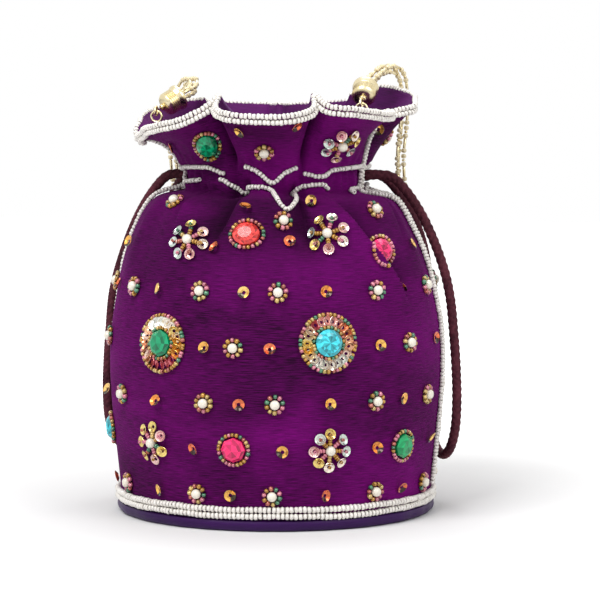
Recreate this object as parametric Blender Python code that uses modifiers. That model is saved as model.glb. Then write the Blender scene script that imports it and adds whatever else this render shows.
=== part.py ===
# Potli bag: gathered velvet pouch with a beaded rim, two drawstrings and a pearl handle
# Metres, +Z up. The bag's front faces -Y, its side seams are at +X and -X, and it stands on z = 0.
# Angles go round the bag: 0 is the front, 90 the seam at +X, 180 the back.

import math

import bmesh
import bpy
import numpy as np
from mathutils import Matrix, Vector
from mathutils.bvhtree import BVHTree

# Running clearances between touching pieces
GAP = 0.0003
TRIM_GAP = 0.0004

# Base
BASE_HEIGHT = 0.0060
BASE_ROUNDING = 0.0070
COVER_WALL = 0.0012
BOARD_THICKNESS = 0.0028

# Velvet tube, from its hem up to the ruffle's rim
CLOTH_WALL = 0.0018
HEM_RADIUS = 0.0846
BASE_LIP = 0.0022
BASE_RADIUS = HEM_RADIUS + BASE_LIP
BELLY_RADIUS = 0.0888
BELLY_HEIGHT = 0.108
SHOULDER_RADIUS = 0.0785
SHOULDER_DROP = 0.0255
YOKE_RADIUS = 0.0655
YOKE_DROP = 0.0060
NECK_RADIUS = 0.0480
NECK_HEIGHT = 0.1755
CASING_WIDTH = 0.0115
RUFFLE_HEIGHT = 0.0355
CREST_RADIUS = 0.0790
VALLEY_RADIUS = 0.0540
SHOULDER_PLEAT = 0.0040
NECK_PLEAT = 0.0034
CASING_DIP = 0.0050
OVERHANG_DEG = 4.0

# Ruffle lobes: the angle of the fold that each starts at, how deep that fold is, how far the rim
# droops at the fold and how much further in the middle of the lobe, and the powers that lean the
# lobe's crest and its droop towards its start (below 1) or its end
LOBES = (
    (-90, 0.18, 0.0225, 0.0045, 1.0, 1.0),
    (-18, 1.00, 0.0000, 0.0080, 1.0, 1.0),
    (28, 1.00, 0.0000, 0.0030, 0.7, 0.7),
    (90, 0.90, 0.0075, -0.0070, 1.0, 2.0),
    (148, 0.80, -0.0020, 0.0020, 1.0, 1.0),
    (188, 0.90, 0.0035, 0.0010, 1.0, 1.0),
    (228, 0.60, 0.0005, -0.0050, 1.0, 1.0),
)
COLUMN_DEG = 6.6
FOLD_SHARPNESS = 2.5

# Lining
LINING_WALL = 0.0008
LINING_EASE = 0.0012

# Drawstrings
CORD_DIAMETER = 0.0055
CASING_CORD_DIAMETER = 0.0050
CORD_SEAT = 0.0007

# Bead edgings, each a rope of seed beads
BASE_BEAD = 0.0034
BASE_BEAD_PITCH = 0.0039
EDGE_BEAD = 0.0030
CASING_BEAD = 0.0023
SEAM_BEAD = 0.0034
SEAM_NECK_LIFT = 0.0010

# Handle
RING_RADIUS = 0.0030
RING_WIRE = 0.0014
EYE_RADIUS = 0.0024
EYE_WIRE = 0.0013
CAP_LENGTH = 0.0135
CAP_RADIUS = 0.0068
CAP_WALL = 0.0009
CAP_HOLLOW = 0.0040
STRAND_DIAMETER = 0.0030
STRAND_SPACING = 0.0038
STRAND_STEP = 0.0158
HANDLE_MIDDLE = (0.0, 0.0300, -0.0055)
LINK_ANGLE_LEFT = -103.0
LINK_INSET_LEFT = 0.0089
LINK_RISE_LEFT = 0.0054
LINK_ANGLE_RIGHT = 90.0
LINK_INSET_RIGHT = 0.0095
LINK_RISE_RIGHT = 0.0060
CAP_WAY_LEFT = Vector((0.70, 0.53, 0.50)).normalized()
CAP_WAY_RIGHT = Vector((0.03, 0.85, 0.53)).normalized()
# The strands' way over the ruffle on either side, as x, y and rise above the neck, and down behind
# the bag, as x, distance behind the belly and rise
ROUTE_LEFT = (
    (-0.0520, 0.0310, 0.0535),
    (-0.0545, 0.0410, 0.0575),
    (-0.0615, 0.0500, 0.0555),
    (-0.0680, 0.0555, 0.0415),
)
DRAPE = (
    (-0.0680, -0.0343, 0.0145),
    (-0.0655, -0.0288, -0.0105),
    (-0.0590, -0.0178, -0.0335),
    (-0.0430, -0.0038, -0.0525),
    (-0.0050, 0.0072, -0.0625),
    (0.0330, 0.0012, -0.0555),
    (0.0530, -0.0123, -0.0355),
    (0.0600, -0.0228, -0.0105),
    (0.0600, -0.0278, 0.0145),
)
ROUTE_RIGHT = (
    (0.0615, 0.0650, 0.0380),
    (0.0610, 0.0590, 0.0595),
    (0.0550, 0.0455, 0.0647),
)

# One drawstring loop, from the casing down and back: distance from the bag's axis, angle, and rise
# above the neck
CORD_ROUTE = (
    (0.0476, 99, 0.0057),
    (0.0550, 99, 0.0067),
    (0.0640, 99, 0.0050),
    (0.0735, 99, -0.0055),
    (0.0825, 99, -0.0210),
    (0.0905, 99, -0.0410),
    (0.0950, 98, -0.0595),
    (0.0972, 98, -0.0805),
    (0.0985, 98, -0.0985),
    (0.0990, 98, -0.1155),
    (0.0983, 99, -0.1315),
    (0.0962, 103, -0.1435),
    (0.0945, 110, -0.1490),
    (0.0945, 118, -0.1470),
    (0.0955, 124, -0.1365),
    (0.0960, 127, -0.1155),
    (0.0960, 127, -0.0855),
    (0.0945, 125, -0.0595),
    (0.0895, 122, -0.0375),
    (0.0815, 120, -0.0185),
    (0.0700, 117, -0.0025),
    (0.0600, 114, 0.0055),
    (0.0486, 112, 0.0067),
)

# Embroidery: what, its angle and its height
MEDALLION_RADIUS = 0.0160
MEDALLION_STONE = 0.0070
MEDALLIONS = (
    ("front_left", -31.5, NECK_HEIGHT - 0.0788),
    ("front_right", 27.5, NECK_HEIGHT - 0.0770),
    ("back_left", 207.5, NECK_HEIGHT - 0.0780),
    ("back_right", 152.5, NECK_HEIGHT - 0.0780),
)
GEM_RADIUS = 0.0100
GEMS = (
    ("shoulder_left", -1.4, NECK_HEIGHT - 0.0219),
    ("shoulder_right", 53.4, NECK_HEIGHT - 0.0315),
    ("low_left", -75.0, 0.0452),
    ("low_middle", -4.4, 0.0430),
    ("low_right", 58.9, 0.0415),
    ("back_shoulder_left", 212.0, NECK_HEIGHT - 0.0285),
    ("back_shoulder_right", 153.0, NECK_HEIGHT - 0.0285),
    ("back_low", 180.0, 0.0425),
    ("ruffle", -30.0, NECK_HEIGHT + CASING_WIDTH + 0.0135),
)
STAR_RADIUS = 0.0110
STARS = (
    ("shoulder_left", -25.7, NECK_HEIGHT - 0.0259),
    ("shoulder_right", 30.8, NECK_HEIGHT - 0.0225),
    ("low_left", -36.8, 0.0431),
    ("low_right", 28.5, 0.0419),
    ("back_shoulder", 182.0, NECK_HEIGHT - 0.0290),
    ("back_low_left", 214.0, 0.0425),
    ("back_low_right", 146.0, 0.0425),
    ("ruffle", 45.0, NECK_HEIGHT + CASING_WIDTH + 0.0141),
)

for old in list(bpy.data.objects):
    bpy.data.objects.remove(old, do_unlink=True)
bag_parts = bpy.data.collections.new("potli_bag")
bpy.context.scene.collection.children.link(bag_parts)


# Materials and small helpers
def material(name, colour, roughness, metallic=0.0):
    made = bpy.data.materials.get(name)
    if made is None:
        made = bpy.data.materials.new(name)
        made.use_nodes = True
        shader = made.node_tree.nodes["Principled BSDF"]
        shader.inputs["Base Color"].default_value = (*colour, 1)
        shader.inputs["Roughness"].default_value = roughness
        shader.inputs["Metallic"].default_value = metallic
    return made


VELVET = material("velvet", (0.10, 0.004, 0.14), 0.9)
SATIN = material("satin", (0.045, 0.007, 0.16), 0.4)
CARD = material("card", (0.35, 0.27, 0.18), 0.9)
WHITE_BEADS = material("white_beads", (0.83, 0.79, 0.74), 0.35)
CORD = material("cord", (0.06, 0.012, 0.02), 0.8)
GOLD = material("gold", (0.75, 0.60, 0.32), 0.3, 1.0)
PEARL = material("pearl", (0.85, 0.78, 0.62), 0.25)
BEADWORK = material("beadwork", (0.55, 0.30, 0.10), 0.35, 0.4)
STONE = material("stone", (0.05, 0.45, 0.35), 0.1)


def keep(name, mesh, look, smooth_deg=40):
    """Puts a mesh into the bag's collection as one named part."""
    part = bpy.data.objects.new(name, mesh)
    bag_parts.objects.link(part)
    mesh.materials.clear()
    mesh.materials.append(look)
    mesh.shade_smooth()
    mesh.set_sharp_from_angle(angle=math.radians(smooth_deg))
    return part


def mesh_of(bm, name, turn_out=True):
    if turn_out:
        bmesh.ops.recalc_face_normals(bm, faces=bm.faces)
    mesh = bpy.data.meshes.new(name)
    bm.to_mesh(mesh)
    bm.free()
    return mesh


def ring_mesh(name, rows, closed=True, fan=False):
    """Joins rows of points, each going round the bag, into one surface; fan closes its first row."""
    bm = bmesh.new()
    made = [[bm.verts.new(point) for point in row] for row in rows]
    count = len(made[0])
    for below, above in zip(made, made[1:]):
        for i in range(count if closed else count - 1):
            j = (i + 1) % count
            bm.faces.new((below[i], below[j], above[j], above[i]))
    if fan:
        middle = bm.verts.new(sum((v.co for v in made[0]), Vector()) / count)
        for i in range(count):
            bm.faces.new((middle, made[0][(i + 1) % count], made[0][i]))
    return mesh_of(bm, name, turn_out=False)


def solidify(part, thickness, offset=-1.0):
    wall = part.modifiers.new("wall", "SOLIDIFY")
    wall.thickness = thickness
    wall.offset = offset
    wall.use_even_offset = True
    wall.use_rim = True
    return part


def turned(name, profile, look, segments, place=None):
    """A turned piece: its profile runs from the axis round the outside and back to the axis."""
    bm = bmesh.new()
    points = [bm.verts.new((radius, 0, height)) for radius, height in profile]
    for a, b in zip(points, points[1:]):
        bm.edges.new((a, b))
    mesh = bpy.data.meshes.new(name)
    bm.to_mesh(mesh)
    bm.free()
    part = keep(name, mesh, look)
    spin = part.modifiers.new("turn", "SCREW")
    spin.steps = segments
    spin.render_steps = segments
    spin.use_merge_vertices = True
    spin.merge_threshold = 0.00001
    spin.use_smooth_shade = True
    if place is not None:
        part.matrix_world = place
    return part


def aimed(origin, way):
    """The placement that puts a piece's own +Z along a direction."""
    return Matrix.Translation(origin) @ way.to_track_quat("Z", "Y").to_matrix().to_4x4()


def curve_through(points, step):
    """Points about a step apart on a smooth curve through the given ones."""
    points = [Vector(p) for p in points]
    ends = [2 * points[0] - points[1], *points, 2 * points[-1] - points[-2]]
    fine = []
    for p0, p1, p2, p3 in zip(ends, ends[1:], ends[2:], ends[3:]):
        for k in range(16):
            t = k / 16
            fine.append(
                0.5
                * (
                    2 * p1
                    + (p2 - p0) * t
                    + (2 * p0 - 5 * p1 + 4 * p2 - p3) * t**2
                    + (3 * p1 - p0 - 3 * p2 + p3) * t**3
                )
            )
    fine.append(points[-1])
    along = np.cumsum([0.0] + [(b - a).length for a, b in zip(fine, fine[1:])])
    count = max(2, round(along[-1] / step))
    at = np.linspace(0, along[-1], count + 1)
    line = np.array([tuple(p) for p in fine])
    return [Vector([float(np.interp(x, along, line[:, k])) for k in range(3)]) for x in at]


def tube(name, points, diameter, look, sides=8, closed=False):
    """A round rope along points, as a poly curve with a bevel and filled caps."""
    data = bpy.data.curves.new(name, "CURVE")
    data.dimensions = "3D"
    data.bevel_depth = diameter / 2
    data.bevel_resolution = (sides - 4) // 2
    data.use_fill_caps = not closed
    line = data.splines.new("POLY")
    line.points.add(len(points) - 1)
    for spot, point in zip(line.points, points):
        spot.co = (*point, 1)
    line.use_cyclic_u = closed
    data.materials.append(look)
    part = bpy.data.objects.new(name, data)
    bag_parts.objects.link(part)
    return part


# The velvet's shape
def blend(x):
    x = min(1.0, max(0.0, x))
    return x * x * (3 - 2 * x)


def lobe_at(angle):
    """Where an angle lies in its lobe (0 to 1), how deep the fold there is, and the rim's droop."""
    angle = (angle + 90) % 360 - 90
    starts = [lobe[0] for lobe in LOBES] + [LOBES[0][0] + 360]
    i = max(k for k in range(len(LOBES)) if starts[k] <= angle + 1e-9)
    share = (angle - starts[i]) / (starts[i + 1] - starts[i])
    this, following = LOBES[i], LOBES[(i + 1) % len(LOBES)]
    leant = share ** this[4]
    depth = this[1] if leant < 0.5 else following[1]
    fold = depth * abs(2 * leant - 1) ** FOLD_SHARPNESS
    swell = 1 - (2 * share ** this[5] - 1) ** 2
    droop = this[2] + (following[2] - this[2]) * share + this[3] * swell
    return share, fold, droop


HEM_HEIGHT = BASE_HEIGHT + GAP
STATIONS = (
    (HEM_RADIUS, HEM_HEIGHT),
    (BELLY_RADIUS, BELLY_HEIGHT),
    (SHOULDER_RADIUS, NECK_HEIGHT - SHOULDER_DROP),
    (YOKE_RADIUS, NECK_HEIGHT - YOKE_DROP),
    (NECK_RADIUS, NECK_HEIGHT),
    (NECK_RADIUS, NECK_HEIGHT + CASING_WIDTH),
)
PLEATS = (0.0, 0.0, 0.6 * SHOULDER_PLEAT, SHOULDER_PLEAT, NECK_PLEAT, NECK_PLEAT)
TOP = len(STATIONS) - 1
RIM = TOP + 1


def profile(level):
    """Mean radius and height of the velvet at a level: 0 is the hem, TOP the casing's upper row."""
    i = min(int(level), TOP - 1)
    points = [np.array(s) for s in STATIONS]
    spans = [np.linalg.norm(b - a) for a, b in zip(points, points[1:])]

    def slope(k):
        if k == 0:
            return (points[1] - points[0]) / spans[0]
        if k >= TOP - 1:
            return np.array((0.0, 1.0)) * (0.3 if k == TOP - 1 else 1.0)
        one, two = spans[k - 1], spans[k]
        before = (points[k] - points[k - 1]) / one
        after = (points[k + 1] - points[k]) / two
        return (before * two + after * one) / (one + two)

    t, span = level - i, spans[i]
    a, b = slope(i) * span, slope(i + 1) * span
    p, q = points[i], points[i + 1]
    return (
        p * (2 * t**3 - 3 * t**2 + 1)
        + a * (t**3 - 2 * t**2 + t)
        + q * (3 * t**2 - 2 * t**3)
        + b * (t**3 - t**2)
    )


def velvet_at(angle, level):
    """The velvet's outer surface at an angle and a level, from 0 at the hem to RIM at the rim."""
    share, fold, droop = lobe_at(angle)
    body = min(level, TOP)
    radius, height = profile(body)
    i = min(int(body), TOP - 1)
    pleat = PLEATS[i] + (PLEATS[i + 1] - PLEATS[i]) * (body - i)
    tuck = 0.55 * math.exp(-(((share - 0.5) / 0.08) ** 2))
    tuck *= blend((TOP - 1.2 - body) / 1.2) if body > TOP - 2.4 else 1.0
    radius -= pleat * max(fold, tuck)
    height -= CASING_DIP * fold * blend(1 - abs(body - (TOP - 1)))
    up = max(0.0, level - TOP)
    outer = CREST_RADIUS + (VALLEY_RADIUS - CREST_RADIUS) * fold
    radius += (outer - radius) * up**1.15
    height += RUFFLE_HEIGHT * up - droop * up**2
    angle = math.radians(angle - OVERHANG_DEG * up * math.sin(2 * math.pi * share))
    return Vector((radius * math.sin(angle), -radius * math.cos(angle), height))


def columns():
    """The angles at which the velvet's surface has its columns of points, folds among them."""
    starts = [lobe[0] for lobe in LOBES] + [LOBES[0][0] + 360]
    angles = []
    for a, b in zip(starts, starts[1:]):
        count = 2 * round((b - a) / COLUMN_DEG / 2)
        angles += [a + (b - a) * k / count for k in range(count)]
    return angles


COLUMNS = columns()
LEVELS = (0, 0.5, 1, 1.4, 1.75, 2, 2.5, 3, 3.5, 4, 5, 5.35, 5.7, 6)


def out_of(column, level):
    """How far a rope on the velvet's surface moves out for each unit of its distance from it."""
    here = velvet_at(COLUMNS[column], level)
    before = velvet_at(COLUMNS[column - 1], level)
    after = velvet_at(COLUMNS[(column + 1) % len(COLUMNS)], level)
    low = velvet_at(COLUMNS[column], max([k for k in LEVELS if k < level], default=0))
    high = velvet_at(COLUMNS[column], min([k for k in LEVELS if k > level], default=RIM))
    rise = high - low
    one = (here - before).cross(rise).normalized()
    two = (after - here).cross(rise).normalized()
    lean = 1.0
    if low != here and high != here:
        lean = math.sqrt((1 + (here - low).normalized().dot((high - here).normalized())) / 2)
    return (one + two) / (1 + one.dot(two)) / lean


def on_velvet(column, level, distance):
    return velvet_at(COLUMNS[column], level) + out_of(column, level) * distance


def velvet_body():
    rows = [[velvet_at(angle, level) for angle in COLUMNS] for level in LEVELS]
    part = keep("velvet_body", ring_mesh("velvet_body", rows), VELVET, 70)
    return solidify(part, CLOTH_WALL)


# Base and lining
def base():
    floor_edge = 0.0020
    cover = (
        (0, 0),
        (BASE_RADIUS - BASE_ROUNDING, 0),
        (BASE_RADIUS - 0.28 * BASE_ROUNDING, 0.36 * BASE_HEIGHT),
        (BASE_RADIUS, 0.72 * BASE_HEIGHT),
        (HEM_RADIUS, BASE_HEIGHT),
        (HEM_RADIUS - COVER_WALL, BASE_HEIGHT),
        (HEM_RADIUS - COVER_WALL, floor_edge),
        (0, floor_edge),
    )
    turned("base_cover", cover[::-1], SATIN, 36)
    low = floor_edge + GAP
    edge = HEM_RADIUS - COVER_WALL - GAP
    board = ((0, low), (edge, low), (edge, low + BOARD_THICKNESS), (0, low + BOARD_THICKNESS))
    turned("base_board", board[::-1], CARD, 36)
    return low + BOARD_THICKNESS


def lining(board_top):
    """A smooth pouch inside the velvet's folds, from the board up to the casing."""
    throat = NECK_RADIUS - NECK_PLEAT - CLOTH_WALL - CASING_CORD_DIAMETER - 4 * GAP - LINING_EASE
    bottom = board_top + GAP + LINING_WALL
    outline = [(0.6 * HEM_RADIUS, bottom)]
    inside = CLOTH_WALL + LINING_EASE
    outline.append((HEM_RADIUS - inside - 0.004, bottom))
    outline.append((HEM_RADIUS - inside, bottom + 0.004))
    for level in (1, 1.75, 2.5):
        radius, height = profile(level)
        i = int(level)
        pleat = PLEATS[i] + (PLEATS[i + 1] - PLEATS[i]) * (level - i)
        outline.append((radius - inside - 1.3 * pleat, height - 1.5 * pleat))
    outline.append((throat + 0.006, NECK_HEIGHT - CASING_DIP - 2 * inside))
    outline.append((throat, NECK_HEIGHT))
    outline.append((throat, NECK_HEIGHT + CASING_WIDTH))
    count = 24
    rows = [
        [
            (r * math.sin(2 * math.pi * k / count), -r * math.cos(2 * math.pi * k / count), z)
            for k in range(count)
        ]
        for r, z in outline
    ]
    part = keep("lining", ring_mesh("lining", rows, fan=True), SATIN)
    solidify(part, LINING_WALL)
    return throat


def casing_cord(throat):
    """The run of the drawstrings inside the casing, between the velvet and the lining."""
    radius = throat + LINING_EASE + CASING_CORD_DIAMETER / 2
    height = NECK_HEIGHT + CASING_WIDTH / 2
    count = 28
    points = [
        (radius * math.sin(2 * math.pi * k / count), -radius * math.cos(2 * math.pi * k / count), height)
        for k in range(count)
    ]
    tube("casing_cord", points, CASING_CORD_DIAMETER, CORD, 4, closed=True)


def drawstring(side, name):
    """One hanging loop: both of its ends come out of the casing, face to face with the velvet."""
    route = []
    for i, (r, a, rise) in enumerate(CORD_ROUTE):
        if i in (0, len(CORD_ROUTE) - 1):
            r = velvet_at(side * a, TOP - 0.5).to_2d().length + CORD_SEAT
        z = NECK_HEIGHT + rise
        route.append((side * r * math.sin(math.radians(a)), -r * math.cos(math.radians(a)), z))
    tube(name, curve_through(route, 2.9 * CORD_DIAMETER), CORD_DIAMETER, CORD, 8)


# Bead edgings
def level_at(angle, height):
    """The velvet's level at a height, on its body."""
    level = 0.0
    while velvet_at(angle, level).z < height:
        level += 0.005
    return level


def base_beads():
    distance = BASE_BEAD / 2 + TRIM_GAP
    low = HEM_HEIGHT + 0.0008
    for name, height in (("base_beads_lower", low), ("base_beads_upper", low + BASE_BEAD_PITCH)):
        level = level_at(0, height)
        points = [on_velvet(k, level, distance) for k in range(len(COLUMNS))]
        tube(name, points, BASE_BEAD, WHITE_BEADS, 4, closed=True)
    return low + BASE_BEAD_PITCH + BASE_BEAD / 2


def seam_beads(name, angle, from_height):
    """The edging down a side seam: it bridges the sharp fold at the neck."""
    column = COLUMNS.index(angle)

    def place(level):
        lift = SEAM_NECK_LIFT * blend(1 - abs(level - (TOP - 0.5)) / 2)
        return on_velvet(column, level, SEAM_BEAD / 2 + TRIM_GAP + lift)

    start = level_at(angle, from_height + SEAM_BEAD / 2 + GAP)
    levels = [start, *(level for level in LEVELS if start < level < RIM), RIM - 0.12]
    tube(name, [place(level) for level in levels], SEAM_BEAD, WHITE_BEADS, 6)


def ruffle_beads():
    """The rope of beads that edges the rim, standing on the cloth's cut edge."""
    points = []
    for column, angle in enumerate(COLUMNS):
        rim = velvet_at(angle, RIM)
        way = (rim - velvet_at(angle, RIM - 0.15)).normalized()
        inward = out_of(column, RIM).normalized() * -CLOTH_WALL / 2
        points.append(rim + inward + way * (EDGE_BEAD / 2 + TRIM_GAP + 0.0009))
    tube("ruffle_beads", points, EDGE_BEAD, WHITE_BEADS, 4, closed=True)


def casing_beads():
    distance = CASING_BEAD / 2 + TRIM_GAP
    seam = next(k for k, angle in enumerate(COLUMNS) if angle == LOBES[3][0])
    for half, span in (("front", range(1, seam)), ("back", range(seam + 1, len(COLUMNS)))):
        for row, level in (("lower", TOP - 0.8), ("upper", TOP)):
            points = [on_velvet(k, level, distance) for k in span]
            tube(f"casing_beads_{row}_{half}", points, CASING_BEAD, WHITE_BEADS, 4)


# Handle
def ring(name, centre, normal, radius, wire):
    bpy.ops.mesh.primitive_torus_add(
        major_segments=10, minor_segments=4, major_radius=radius, minor_radius=wire / 2
    )
    part = bpy.context.object
    part.name = name
    part.matrix_world = aimed(centre, normal)
    for holder in list(part.users_collection):
        holder.objects.unlink(part)
    bag_parts.objects.link(part)
    part.data.materials.append(GOLD)
    return part


def handle_end(side, link, way, axis):
    """The sewn ring, the jump ring linked through its top and the bell cap that hangs on it."""
    up = (Vector((0, 0, 1)) - axis * axis.z).normalized()
    ring(f"handle_ring_{side}", link - up * RING_RADIUS, axis.cross(up), RING_RADIUS, RING_WIRE)
    ring(f"handle_eye_{side}", link, axis, EYE_RADIUS, EYE_WIRE)
    start = EYE_RADIUS + EYE_WIRE / 2
    end = start + CAP_LENGTH
    cap = (
        (0, start),
        (0.0013, start),
        (0.0020, start + 0.0012),
        (0.0048, start + 0.0030),
        (CAP_RADIUS - 0.0010, start + 0.0055),
        (CAP_RADIUS - 0.0014, end - 0.0050),
        (CAP_RADIUS, end - 0.0025),
        (CAP_RADIUS - 0.0002, end),
        (CAP_RADIUS - CAP_WALL, end),
        (CAP_RADIUS - CAP_WALL, end - CAP_HOLLOW),
        (0, end - CAP_HOLLOW),
    )
    turned(f"handle_cap_{side}", cap[::-1], GOLD, 12, aimed(link, way))
    return link + way * end


def link_point(angle, inset, rise):
    """Where a handle end hangs, from the ruffle's rim near its side seam."""
    rim = velvet_at(angle, RIM)
    inward = Vector((-rim.x, -rim.y, 0)).normalized()
    return rim + Vector((0, 0, rise)) + inward * inset


def handle():
    link_left = link_point(LINK_ANGLE_LEFT, LINK_INSET_LEFT, LINK_RISE_LEFT)
    link_right = link_point(LINK_ANGLE_RIGHT, LINK_INSET_RIGHT, LINK_RISE_RIGHT)
    axis = (link_right - link_left).normalized()
    left = handle_end("left", link_left, CAP_WAY_LEFT, axis)
    right = handle_end("right", link_right, CAP_WAY_RIGHT, axis)
    inside = CAP_HOLLOW - GAP
    straight = 0.0030
    ends = [left + CAP_WAY_LEFT * straight, right + CAP_WAY_RIGHT * straight]
    drape = [(x, BELLY_RADIUS + behind, rise) for x, behind, rise in DRAPE]
    route = [Vector((x, y, NECK_HEIGHT + rise)) for x, y, rise in (*ROUTE_LEFT, *drape, *ROUTE_RIGHT)]
    centre = curve_through([ends[0], *route, ends[1]], STRAND_STEP)
    centre = [left - CAP_WAY_LEFT * inside, *centre, right - CAP_WAY_RIGHT * inside]
    middle = Vector(HANDLE_MIDDLE) + Vector((0, 0, NECK_HEIGHT))
    for k in range(3):
        turn = 2 * math.pi * k / 3
        points = []
        for i, point in enumerate(centre):
            way = (centre[min(i + 1, len(centre) - 1)] - centre[max(i - 1, 0)]).normalized()
            across = way.cross(point - middle).normalized()
            out = across.cross(way)
            shift = across * math.cos(turn) + out * math.sin(turn)
            points.append(point + shift * STRAND_SPACING / math.sqrt(3))
        tube(f"handle_strand_{k + 1}", points, STRAND_DIAMETER, PEARL, 6)


# Embroidery, laid on the velvet
def cloth_tree():
    rows = [[velvet_at(angle, level) for angle in COLUMNS] for level in LEVELS]
    points = [point for row in rows for point in row]
    count = len(COLUMNS)
    faces = [
        (r * count + i, r * count + (i + 1) % count, (r + 1) * count + (i + 1) % count, (r + 1) * count + i)
        for r in range(len(LEVELS) - 1)
        for i in range(count)
    ]
    return BVHTree.FromPolygons(points, faces)


CLOTH = cloth_tree()


def spot_below(point, normal):
    """The cloth's surface straight under a point near it."""
    return CLOTH.ray_cast(point + normal * 0.02, -normal)[0]


def laid(name, angle, height, profile_points, segments, look, shape=None):
    """A turned ornament that follows the cloth: its profile gives distances from its centre and the cloth."""
    turn = math.radians(angle)
    inward = Vector((-math.sin(turn), math.cos(turn), 0))
    across = Vector((math.cos(turn), math.sin(turn), 0))
    start = Vector((0, 0, height)) - inward * 2 * BELLY_RADIUS
    hit, normal = CLOTH.ray_cast(start, inward)[:2]
    normal = normal if normal.dot(inward) < 0 else -normal
    up = (Vector((0, 0, 1)) - normal * normal.z).normalized()
    across = up.cross(normal)

    def place(x, y, rise):
        return spot_below(hit + across * x + up * y, normal) + normal * (rise + TRIM_GAP)

    bm = bmesh.new()
    rows = []
    for radius, rise in profile_points:
        if radius == 0:
            rows.append([bm.verts.new(place(0, 0, rise))])
            continue
        row = []
        for k in range(segments):
            a = 2 * math.pi * k / segments
            wide = radius * (shape(k, radius) if shape else 1.0)
            row.append(bm.verts.new(place(wide * math.sin(a), wide * math.cos(a), rise)))
        rows.append(row)
    loops = rows if len(rows[0]) == 1 else [*rows, rows[0]]
    spans = []
    for one, two in zip(loops, loops[1:]):
        for k in range(segments):
            j = (k + 1) % segments
            here, beside, above = one[k % len(one)].co, one[j % len(one)].co, two[k % len(two)].co
            spans += [(here + beside) / 2, (here + above) / 2, (beside + above) / 2]
    sunk = max(0.0, *((spot_below(m, normal) - m).dot(normal) + GAP for m in spans))
    for vert in bm.verts:
        vert.co += normal * sunk
    for one, two in zip(loops, loops[1:]):
        for k in range(segments):
            j = (k + 1) % segments
            corners = [one[k % len(one)], one[j % len(one)], two[j % len(two)], two[k % len(two)]]
            bm.faces.new(list(dict.fromkeys(corners)))
    return keep(name, mesh_of(bm, name), look, 30)


def medallion(name, angle, height):
    seat = MEDALLION_STONE + GAP
    rim = MEDALLION_RADIUS
    ring_profile = (
        (seat, 0),
        (seat, 0.0018),
        (seat + 0.0014, 0.0024),
        (0.62 * rim + 0.25 * seat, 0.0034),
        (rim - 0.0014, 0.0022),
        (rim, 0.0004),
        (0.5 * (rim + seat), 0),
    )
    laid(f"medallion_ring_{name}", angle, height, ring_profile, 12, BEADWORK)
    stone = MEDALLION_STONE
    facets = ((0, 0), (0.7 * stone, 0), (stone, 0.0014), (0.62 * stone, 0.0040), (0, 0.0042))
    laid(f"medallion_stone_{name}", angle, height, facets, 8, STONE)


def gem(name, angle, height):
    """A faceted stone in its ring of beads."""
    facets = (
        (0, 0),
        (0.75 * GEM_RADIUS, 0),
        (GEM_RADIUS, 0.0010),
        (0.83 * GEM_RADIUS, 0.0024),
        (0.66 * GEM_RADIUS, 0.0014),
        (0.42 * GEM_RADIUS, 0.0040),
        (0, 0.0042),
    )
    laid(f"gem_{name}", angle, height, facets, 10, BEADWORK)


def star(name, angle, height):
    """A starburst of seven bead arms about a pearl."""

    def arms(k, radius):
        return 1.0 if k % 2 == 0 or radius < 0.3 * STAR_RADIUS else 0.42

    facets = (
        (0, 0),
        (STAR_RADIUS, 0),
        (0.96 * STAR_RADIUS, 0.0016),
        (0.25 * STAR_RADIUS, 0.0026),
        (0, 0.0034),
    )
    laid(f"star_{name}", angle, height, facets, 14, BEADWORK, arms)


velvet_body()
board_top = base()
throat = lining(board_top)
casing_cord(throat)
drawstring(1, "drawstring_right")
drawstring(-1, "drawstring_left")
beads_top = base_beads()
seam_beads("seam_beads_right", 90, beads_top)
seam_beads("seam_beads_left", -90, beads_top)
ruffle_beads()
casing_beads()
handle()
for spot in MEDALLIONS:
    medallion(*spot)
for spot in GEMS:
    gem(*spot)
for spot in STARS:
    star(*spot)
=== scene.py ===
import math
import random
from collections import namedtuple

import bmesh
import bpy
import numpy as np
from mathutils import Matrix, Vector
from mathutils.bvhtree import BVHTree


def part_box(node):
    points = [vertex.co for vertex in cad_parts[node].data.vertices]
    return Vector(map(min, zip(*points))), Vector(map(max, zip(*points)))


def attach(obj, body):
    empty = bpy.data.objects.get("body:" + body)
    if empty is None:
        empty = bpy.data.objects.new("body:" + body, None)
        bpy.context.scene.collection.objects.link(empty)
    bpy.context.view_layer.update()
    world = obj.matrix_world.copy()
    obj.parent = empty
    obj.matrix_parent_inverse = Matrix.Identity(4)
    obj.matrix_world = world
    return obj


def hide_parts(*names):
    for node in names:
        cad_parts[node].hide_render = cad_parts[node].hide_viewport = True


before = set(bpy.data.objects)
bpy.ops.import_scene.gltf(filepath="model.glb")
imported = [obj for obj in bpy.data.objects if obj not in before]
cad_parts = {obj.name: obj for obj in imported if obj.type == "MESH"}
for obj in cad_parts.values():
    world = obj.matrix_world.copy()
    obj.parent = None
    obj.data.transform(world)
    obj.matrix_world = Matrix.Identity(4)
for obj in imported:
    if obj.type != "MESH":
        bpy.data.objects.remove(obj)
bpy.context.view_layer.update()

# Sizes shared with the solids, in metres and degrees; angles go round from the front (-Y) to +X
GAP = 0.0003
BASE_RADIUS = 0.0868
BASE_HEIGHT = 0.0060
CLOTH_WALL = 0.0018
HEM_RADIUS = 0.0846
HEM_HEIGHT = BASE_HEIGHT + GAP
BELLY_RADIUS = 0.0888
NECK_RADIUS = 0.0480
NECK_HEIGHT = 0.1755
CASING_WIDTH = 0.0115
RUFFLE_HEIGHT = 0.0355
CREST_RADIUS = 0.0790
VALLEY_RADIUS = 0.0540
CASING_DIP = 0.0050
OVERHANG_DEG = 4.0
FOLD_SHARPNESS = 2.5
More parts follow.
